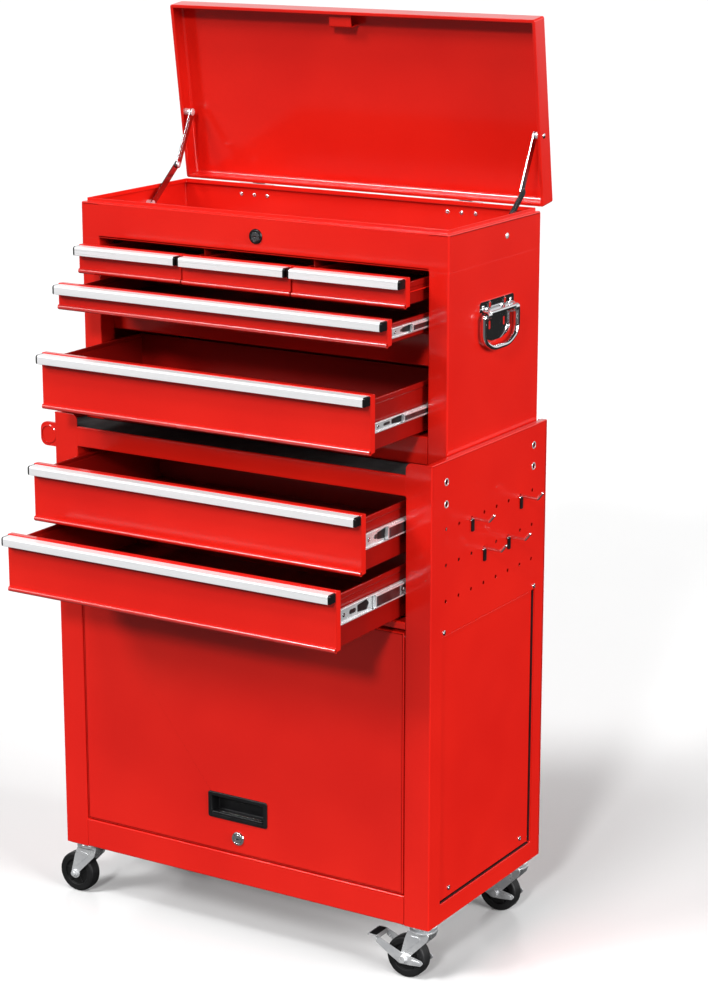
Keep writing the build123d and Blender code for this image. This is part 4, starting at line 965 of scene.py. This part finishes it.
def handle_plate(fn):
    b = Build()
    o = lambda pts: [(HHY + a, HHZ + c) for a, c in pts]
    hx = 603.7
    up = rounded(o([(-47.5, 17.5), (-47.5, 3.5), (47.5, 3.5), (47.5, 17.5)]), [4.5, 0.4, 0.4, 4.5])
    slots = [list(reversed(oval(HHY + s * 21, HHZ + 10.6, 5.2, 10.4))) for s in (-1, 1)]
    holes = [list(reversed(circle(HHY + s * 38, HHZ + 10.5, 2.0, 16))) for s in (-1, 1)]
    b.add(prism(up, "x", hx, hx + 1.5, slots + holes), CHROME, fn)
    for s in (-1, 1):
        # raised rings of metal round the slots
        oo, ii = oval(HHY + s * 21, HHZ + 10.6, 8.4, 13.6), list(reversed(oval(HHY + s * 21, HHZ + 10.6, 5.2, 10.4)))
        b.add(prism(oo, "x", hx + 1.2, hx + 2.3, [ii]), CHROME, fn)
    lo = rounded(o([(-41, 5), (-41, -24), (-33, -33), (-12, -38.5), (12, -38.5), (33, -33), (41, -24), (41, 5)]), [0, 5, 6, 9, 9, 6, 5, 0])
    holes = [list(reversed(circle(HHY + s * 34, HHZ - 26, 2.0, 16))) for s in (-1, 1)]
    slots = [list(reversed(oval(HHY + s * 20, HHZ - 16, 4.4, 12.0))) for s in (-1, 1)]
    b.add(prism(lo, "x", hx, hx + 1.5, holes + slots), CHROME, fn)
    # the rolled ridge that holds the bail
    rad = 5.0
    ridge = [(hx + 1.0, HHZ + 7.5), (hx + 4.6, HHZ + 6.0)]
    ridge += [(axx + rad * cos(radians(a)), HHZ + rad * sin(radians(a))) for a in range(110, -91, -20)]
    ridge += [(hx + 4.6, HHZ - 5.6), (hx + 1.0, HHZ - 6.4)]
    for y0, y1 in ((-43.0, -34.0), (34.0, 43.0)):
        b.add(fold(ridge, "y", HHY + y0, HHY + y1, 1.2, raw=True), CHROME, fn)
    b.add(fold([(hx + 1.0, HHZ + 7.5), (hx + 5.0, HHZ + 5.6), (axx + 3.9, HHZ + 4.7), (axx + 4.5, HHZ + 2.6), (axx + 3.6, HHZ + 0.2)], "y", HHY - 34.0, HHY + 34.0, 1.2, 1.6), CHROME, fn)
    return b


both = Build()
for fn in (ident, mx):
    part = handle_plate((lambda p: mx(p)) if fn is ident else ident)
    k = len(both.v)
    both.v += part.v
    both.f += [tuple(i + k for i in f) for f in part.f]
    both.m += part.m
    both.mats = part.mats
both.make("side_handle_pressings", "frame", "side_handle_plates", "chrome", 0.22)

for side, fn in (("right", ident), ("left", mx)):
    b = Build()
    pts = [(axx, HHY - 37, HHZ), (axx, HHY - 46.9, HHZ), (axx, HHY - 46.9, HHZ - 34), (axx, HHY - 22, HHZ - 47), (axx, HHY + 22, HHZ - 47), (axx, HHY + 46.9, HHZ - 34), (axx, HHY + 46.9, HHZ), (axx, HHY + 37, HHZ)]
    line = bend3(pts, [4.5, 20.0, 44.0, 44.0, 20.0, 4.5], 10)
    b.add(tube(line, 3.5, 18), CHROME, fn)
    b.make("bail_" + side, "bail_" + side, "side_handle_bail_" + side, "chrome", 0.0)

# -------------------------------------------------------------- push handle
b = Build()
ZM = 604.5
for y, s in ((BOLT_Y[0], 1), (BOLT_Y[1], -1)):
    lobe = rounded([(0.0, ZM - 17.5), (0.0, ZM + 17.5), (-54.0, ZM + 17.5), (-54.0, ZM - 17.5)], [0, 0, 11.0, 11.0], 9)
    b.add(prism(lobe, "y", y - 3.0, y + 3.0), RED)
    b.add(prism(rounded([(y - 9, ZM - 25), (y + 9, ZM - 25), (y + 9, ZM + 25), (y - 9, ZM + 25)], 4.0), "x", -2.5, -0.02), RED)
    for q in (-1, 1):
        b.add(ring([(12.2, y + q * 3.0), (14.5, y + q * 3.0), (12.2, y + q * 4.6)], "y", (-39.0, 0, ZM), 32), RED)
grip = [(12.0, BOLT_Y[0] + 2.9), (12.0, BOLT_Y[1] - 2.9)]
b.add(lathe(grip, "y", (-39.0, 0, ZM), 40), RED)
b.make("push_handle_bar", "frame", "push_handle", "red_steel", 0.6, 3)

# ----------------------------------------------------------------- peg hooks
b = Build()
for col, row in ((2, 2), (6, 2), (5, 1), (3, 1)):
    y, z = PEG_Y0 + col * PEG_DY, PEG_Z0 + row * PEG_DZ
    pts = [(W - 8.0, y, z + 4.6), (W - 5.0, y, z), (W + 26.0, y, z - 2.0), (W + 33.0, y, z + 7.0)]
    b.add(tube(bend3(pts, 3.2, 6), 1.95, 14), CHROME)
    tip = (W + 33.0, y, z + 7.0)
    b.add(lathe([(0, -2.4), (0.9, -2.2), (1.7, -1.7), (2.2, -0.9), (2.4, 0), (2.2, 0.9), (1.7, 1.7), (0.9, 2.2), (0, 2.4)], "z", tip, 18), CHROME)
    # cross bar against the panel, with a flat black piece below it
    b.add(tube([(W + 2.0, y - 5.5, z - 1.6), (W + 2.0, y + 5.5, z - 1.6)], 1.4, 10), CHROME)
    b.add(prism(rounded([(y - 3.2, z - 18.5), (y + 3.2, z - 18.5), (y + 3.2, z - 1.2), (y - 3.2, z - 1.2)], 1.3, 4), "x", W + 0.5, W + 2.4), BLACK)
b.make("hook_set", "frame", "peg_hooks", "chrome", 0.2)

# ------------------------------------------------------------------- casters
AXZ, WR, WW, TRAIL = -56.0, 30.0, 20.0, 23.0


def cheek(x, swivel):
    w = x - TRAIL
    pts = [(x - 17, -13), (x + 17, -13), (x + 13, -24)]
    pts += [(w + 8.0 * cos(radians(20 - a)), AXZ + 8.0 * sin(radians(20 - a))) for a in range(0, 181, 18)]
    pts.append((x - 22, -26))
    return rounded(pts, [3.0, 3.0, 5.0] + [0] * 11 + [5.0], 4)


def fork(b, x, y, swivel):
    inn, thk = WW / 2 + 1.6, 1.8
    w = x - TRAIL
    for s in (-1, 1):
        ya, yb = sorted((y + s * inn, y + s * (inn + thk)))
        b.add(prism(cheek(x, swivel), "y", ya, yb), ZINC)
        ye = yb if s > 0 else ya
        # stiffening bead down the cheek
        bead = [(x - 12, -20), (x + 7, -20), (w + 3.5, AXZ + 12), (w - 3.5, AXZ + 12)]
        ya2, yb2 = sorted((ye - s * 0.2, ye + s * 0.6))
        b.add(prism(rounded(bead, 3.0, 4), "y", ya2, yb2), ZINC)
    if swivel:
        b.add(lathe([(17.5, -15.0), (18.6, -14.2), (19.2, -12.6), (19.2, -11.8), (18.2, -11.3), (12.0, -11.3), (12.0, -8.8), (7.0, -8.8), (7.0, -4.2), (5.5, -4.2), (0, -4.2)], "z", (x, y, 0), 40), ZINC)
    else:
        b.add(fold([(y - inn - thk / 2, -14.0), (y - inn - thk / 2, -3.0), (y + inn + thk / 2, -3.0), (y + inn + thk / 2, -14.0)], "x", x - 17, x + 17, 1.8, 3.0), ZINC)
        b.add(lathe([(17.0, -11.2), (18.6, -10.4), (19.0, -8.6), (18.2, -6.0), (16.0, -2.2), (10, -2.0), (0, -2.0)], "z", (x, y, 0), 40), ZINC)
    # axle bolt: hexagon head in front, nyloc nut behind
    hexa = lambda r: [(w + r * cos(i * pi / 3), AXZ + r * sin(i * pi / 3)) for i in range(6)]
    base = inn + thk
    off = 2.3 if swivel else 0.05
    b.add(lathe([(3.0, y - base - 5.8), (3.0, y + base + 5.8)], "y", (w, 0, AXZ), 20), ZINC)
    b.add(prism(hexa(5.2), "y", y - base - off - 3.8, y - base - off), ZINC)
    b.add(prism(hexa(5.2), "y", y + base + off, y + base + off + 3.6), ZINC)
    b.add(lathe([(5.6, y - base - off), (5.6, y - base - off + 0.4)], "y", (w, 0, AXZ), 24), ZINC)


def top_plate(b, x, y):
    holes = [list(reversed(circle(x + dx, y + dy, 3.0, 16))) for dx in (-15, 15) for dy in (-18, 18)]
    b.add(prism(rect(x - 22, x + 22, y - 25, y + 25, 4.0), "z", -2.0, -0.02, holes), ZINC)
    for dx in (-15, 15):
        for dy in (-18, 18):
            b.add(lathe([(0, -3.9), (2.0, -3.8), (4.0, -2.9), (4.3, -2.0), (2.9, -2.0), (2.9, 0.8)], "z", (x + dx, y + dy, 0), 18), ZINC)


b = Build()
for y in CASTER_Y:
    top_plate(b, CASTER_X[0], y)
    fork(b, CASTER_X[0], y, False)
    top_plate(b, CASTER_X[1], y)
    b.add(ring([(7.2, -8.4), (18.2, -8.4), (19.8, -7.2), (20.0, -5.4), (19.0, -3.4), (17.6, -1.95), (7.2, -1.95)], "z", (CASTER_X[1], y, 0), 40), ZINC)
b.make("caster_plates_and_rigid_forks", "frame", "caster_brackets", "zinc_steel", 0.22)

for tag, y in (("front", CASTER_Y[0]), ("rear", CASTER_Y[1])):
    b = Build()
    fork(b, CASTER_X[1], y, True)
    b.make("swivel_fork_%s_pressing" % tag, "fork_" + tag, "swivel_fork_" + tag, "zinc_steel", 0.22)
    w = CASTER_X[1] - TRAIL
    inn = WW / 2 + 1.6 + 1.8 + 0.5
    b = Build()
    arm = [(w - 44, AXZ + 25), (w - 20, AXZ + 15), (w - 4, AXZ + 8.5), (w + 27, AXZ + 2.5), (w + 31, AXZ - 1), (w + 27, AXZ - 5.5), (w + 8, AXZ - 7.5), (w - 6, AXZ - 7.8), (w - 22, AXZ + 1.0), (w - 44, AXZ + 15)]
    arm = rounded(arm, [1, 4, 5, 2, 2, 2, 4, 5, 4, 2], 4)
    for s in (-1, 1):
        ya, yb = sorted((y + s * inn, y + s * (inn + 1.3)))
        b.add(prism(arm, "y", ya, yb, [list(reversed(circle(w, AXZ, 3.3, 20)))]), ZINC)
        ye = y + s * (inn + 1.3)
        ya, yb = sorted((ye - s * 0.2, ye + s * 0.9))
        b.add(prism(rounded([(w + 12, AXZ - 3.6), (w + 26, AXZ - 3.4), (w + 26, AXZ + 0.6), (w + 12, AXZ + 1.2)], 1.6, 4), "y", ya, yb), ZINC)
    b.add(fold([(w - 39, AXZ + 21.6), (w - 44, AXZ + 24.0), (w - 57, AXZ + 24.4), (w - 57, AXZ + 22.0)], "y", y - inn - 1.3, y + inn + 1.3, 1.3, [3.0, 1.2]), ZINC)
    b.add(loft(w - 56.6, w - 43.5, y - inn - 0.6, y + inn + 0.6, 2.5, [(1.0, AXZ + 24.3), (0.0, AXZ + 24.5), (0.0, AXZ + 24.7), (0.6, AXZ + 25.0), (1.4, AXZ + 25.0)], 4), BLACK)
    b.make("brake_lever_" + tag, "pedal_" + tag, "brake_pedal_" + tag, "zinc_steel", 0.2)

for side, x in (("left", CASTER_X[0]), ("right", CASTER_X[1])):
    for tag, y in (("front", CASTER_Y[0]), ("rear", CASTER_Y[1])):
        w = x - TRAIL
        b = Build()
        half = [(3.1, 11.2), (8.0, 11.2), (8.2, 10.6), (8.6, 7.6), (18.2, 7.0), (19.0, 7.4), (19.6, 9.2), (20.6, 9.8), (26.4, 9.9), (27.6, 9.7), (28.9, 8.8), (29.7, 7.4), (30.0, 5.6), (30.0, 0.5)]
        prof = half + [(29.8, 0.15), (29.8, -0.15)] + [(r, -h) for r, h in reversed(half)]
        b.add(ring([(r, y + h) for r, h in prof], "y", (w, 0, AXZ), 72), RUBBER)
        for i in range(5):
            for s in (-1, 1):
                a = 2 * pi * i / 5 + 0.3
                ca, sa = cos(a), sin(a)
                web = [(8.0, -1.1), (18.8, -0.8), (18.8, 0.8), (8.0, 1.1)]
                o = [(w + r * ca - q * sa, AXZ + r * sa + q * ca) for r, q in web]
                ya, yb = sorted((y + s * 6.9, y + s * 9.0))
                b.add(prism(o, "y", ya, yb), RUBBER)
        b.make("wheel_%s_%s_tyre" % (tag, side), "wheel_%s_%s" % (tag, side), "wheel_%s_%s" % (tag, side), "wheel_rubber", 0.2)

# ----------------------------------------------------- screws and small rivets
b = Build()
for y, z in ((34.5, 414.5), (289.5, 414.5)):
    b.add(pan_head("x", (0.0, y, z), -1), CHROME)
    b.add(pan_head("x", (W, y, z), 1), CHROME)
for y, z in ((60.7, 41.3), (267.2, 41.3)):
    b.add(pan_head("x", (4.1, y, z), -1), CHROME)
    b.add(pan_head("x", (W - 4.1, y, z), 1), CHROME)
for y in BOLT_Y:
    for z in BOLT_Z:
        b.add(lathe([(0, -5.5), (2.4, -5.4), (4.4, -4.4), (5.0, -2.5), (3.0, -2.5), (3.0, 5.0), (0, 5.0)], "x", (0, y, z), 24), ZINC)
        b.add(ring([(3.65, W - 0.6), (5.3, W - 0.1), (5.3, W + 0.2), (4.9, W + 0.6), (3.9, W + 0.6), (3.65, W + 0.3)], "x", (0, y, z), 28), ZINC)
for a, c in ((-38, 10.5), (38, 10.5), (-34, -26), (34, -26)):
    b.add(rivet("x", (605.2, HHY + a, HHZ + c), 1, 2.6, 1.3), CHROME)
    b.add(rivet("x", (W - 605.2, HHY + a, HHZ + c), -1, 2.6, 1.3), CHROME)
for x in HINGE_X:
    for d in (-22.4, 0, 22.4):
        b.add(pan_head("y", (x + d, CY1 - T, 928.3), -1, 3.0, 1.4), CHROME)
for fn in (ident, mx):
    b.add(lathe([(0, 12.3), (5.0, 12.3), (5.0, 19.2), (4.6, 19.6), (2.95, 19.6), (2.95, 21.9), (4.5, 21.9), (4.5, 22.1), (0, 22.25)], "x", (0, SA[0], SA[1]), 20), ZINC, fn)
    b.add(rivet("x", (11.3, SA[0], SA[1]), -1, 4.2, 1.6), ZINC, fn)
b.make("fasteners", "frame", "screws_and_rivets", "zinc_steel", 0.12)

# the till floor, a plain bent sheet, stays as it is in the frame; it takes the darker red, painted shade inside the
# chest
node = frame["nodes"]["chest_till_floor"]
node.data.materials.clear()
node.data.materials.append(RED_PAINTED_SHADE)

# --------------------------------------------------------------- floor, light
def plane(name, pts, mat):
    me = bpy.data.meshes.new(name)
    me.from_pydata(pts, [], [tuple(range(len(pts)))])
    me.materials.append(mat)
    ob = bpy.data.objects.new(name, me)
    bpy.context.scene.collection.objects.link(ob)
    return ob


m, nt, bs, v = new_mat("pale_floor")
nt.links.new(ramp(nt, noise(nt, v, 1.2, 2.0), [(0.3, (0.93, 0.93, 0.93)), (0.7, (0.95, 0.95, 0.95))]), bs.inputs["Base Color"])
bs.inputs["Roughness"].default_value = 0.16
bs.inputs["Specular IOR Level"].default_value = 0.55
floor = plane("floor", [(-60, -60, -0.0004), (60, -60, -0.0004), (60, 60, -0.0004), (-60, 60, -0.0004)], m)
floor.visible_diffuse = False          # a dark studio: the floor does not fill the shadows
floor.visible_glossy = False           # or haze the paint

scene = bpy.context.scene
world = bpy.data.worlds.new("studio")
scene.world = world
world.use_nodes = True
wt = world.node_tree
bg = wt.nodes["Background"]
# a dim room with a bright backdrop low behind the object
wc = wt.nodes.new("ShaderNodeTexCoord")
ws = wt.nodes.new("ShaderNodeSeparateXYZ")
wt.links.new(wc.outputs["Generated"], ws.inputs["Vector"])
back = rng(wt, ws.outputs["Y"], 0.0, 1.0, -0.10, 0.45)
low = rng(wt, ws.outputs["Z"], 1.0, 0.0, 0.30, 0.62)
up = rng(wt, ws.outputs["Z"], 0.0, 1.0, -0.12, -0.02)
wm = wt.nodes.new("ShaderNodeMath")
wm.operation = "MULTIPLY"
wt.links.new(back, wm.inputs[0])
wt.links.new(low, wm.inputs[1])
wn = wt.nodes.new("ShaderNodeMath")
wn.operation = "MULTIPLY"
wt.links.new(wm.outputs["Value"], wn.inputs[0])
wt.links.new(up, wn.inputs[1])
# and a bright sweep low in front, which the bright metal mirrors
fr = rng(wt, ws.outputs["Y"], 0.0, 1.0, 0.15, -0.35)
dn = rng(wt, ws.outputs["Z"], 0.0, 0.14, 0.04, -0.08)
wf = wt.nodes.new("ShaderNodeMath")
wf.operation = "MULTIPLY"
wt.links.new(fr, wf.inputs[0])
wt.links.new(dn, wf.inputs[1])
wa = wt.nodes.new("ShaderNodeMath")
wa.operation = "MAXIMUM"
wt.links.new(wn.outputs["Value"], wa.inputs[0])
wt.links.new(wf.outputs["Value"], wa.inputs[1])
wt.links.new(ramp(wt, wa.outputs["Value"], [(0.0, 0.022), (1.0, 0.92)]), bg.inputs["Color"])
bg.inputs["Strength"].default_value = 1.0


def sun(name, az, el, strength, angle):
    """Soft distant light. az is measured from straight in front, positive to the right."""
    li = bpy.data.lights.new(name, "SUN")
    li.energy, li.angle = strength, radians(angle)
    ob = bpy.data.objects.new(name, li)
    d = Vector((sin(radians(az)) * cos(radians(el)), -cos(radians(az)) * cos(radians(el)), sin(radians(el))))
    ob.rotation_mode = "QUATERNION"
    ob.rotation_quaternion = (-d).to_track_quat("-Z", "Y")
    ob.location = d * 4.0
    scene.collection.objects.link(ob)
    return ob


sun("front", 14, 28, 1.5, 7)
sun("left_high", -30, 38, 1.5, 16)
sun("left_key", -52, 16, 0.35, 24)
sun("top", -8, 64, 0.95, 12)
sun("right_fill", 82, 20, 3.2, 34)

cam_d = bpy.data.cameras.new("camera")
cam = bpy.data.objects.new("camera", cam_d)
scene.collection.objects.link(cam)
scene.camera = cam
cam.location = (1.8954, -2.9329, 1.5276)
cam.rotation_euler = (radians(90 - 14.54), 0.0, radians(31.61))
cam_d.lens = 93.17
cam_d.sensor_width = 36.0
cam_d.clip_start, cam_d.clip_end = 0.05, 100.0
scene.view_settings.view_transform = "Standard"
scene.view_settings.look = "None"
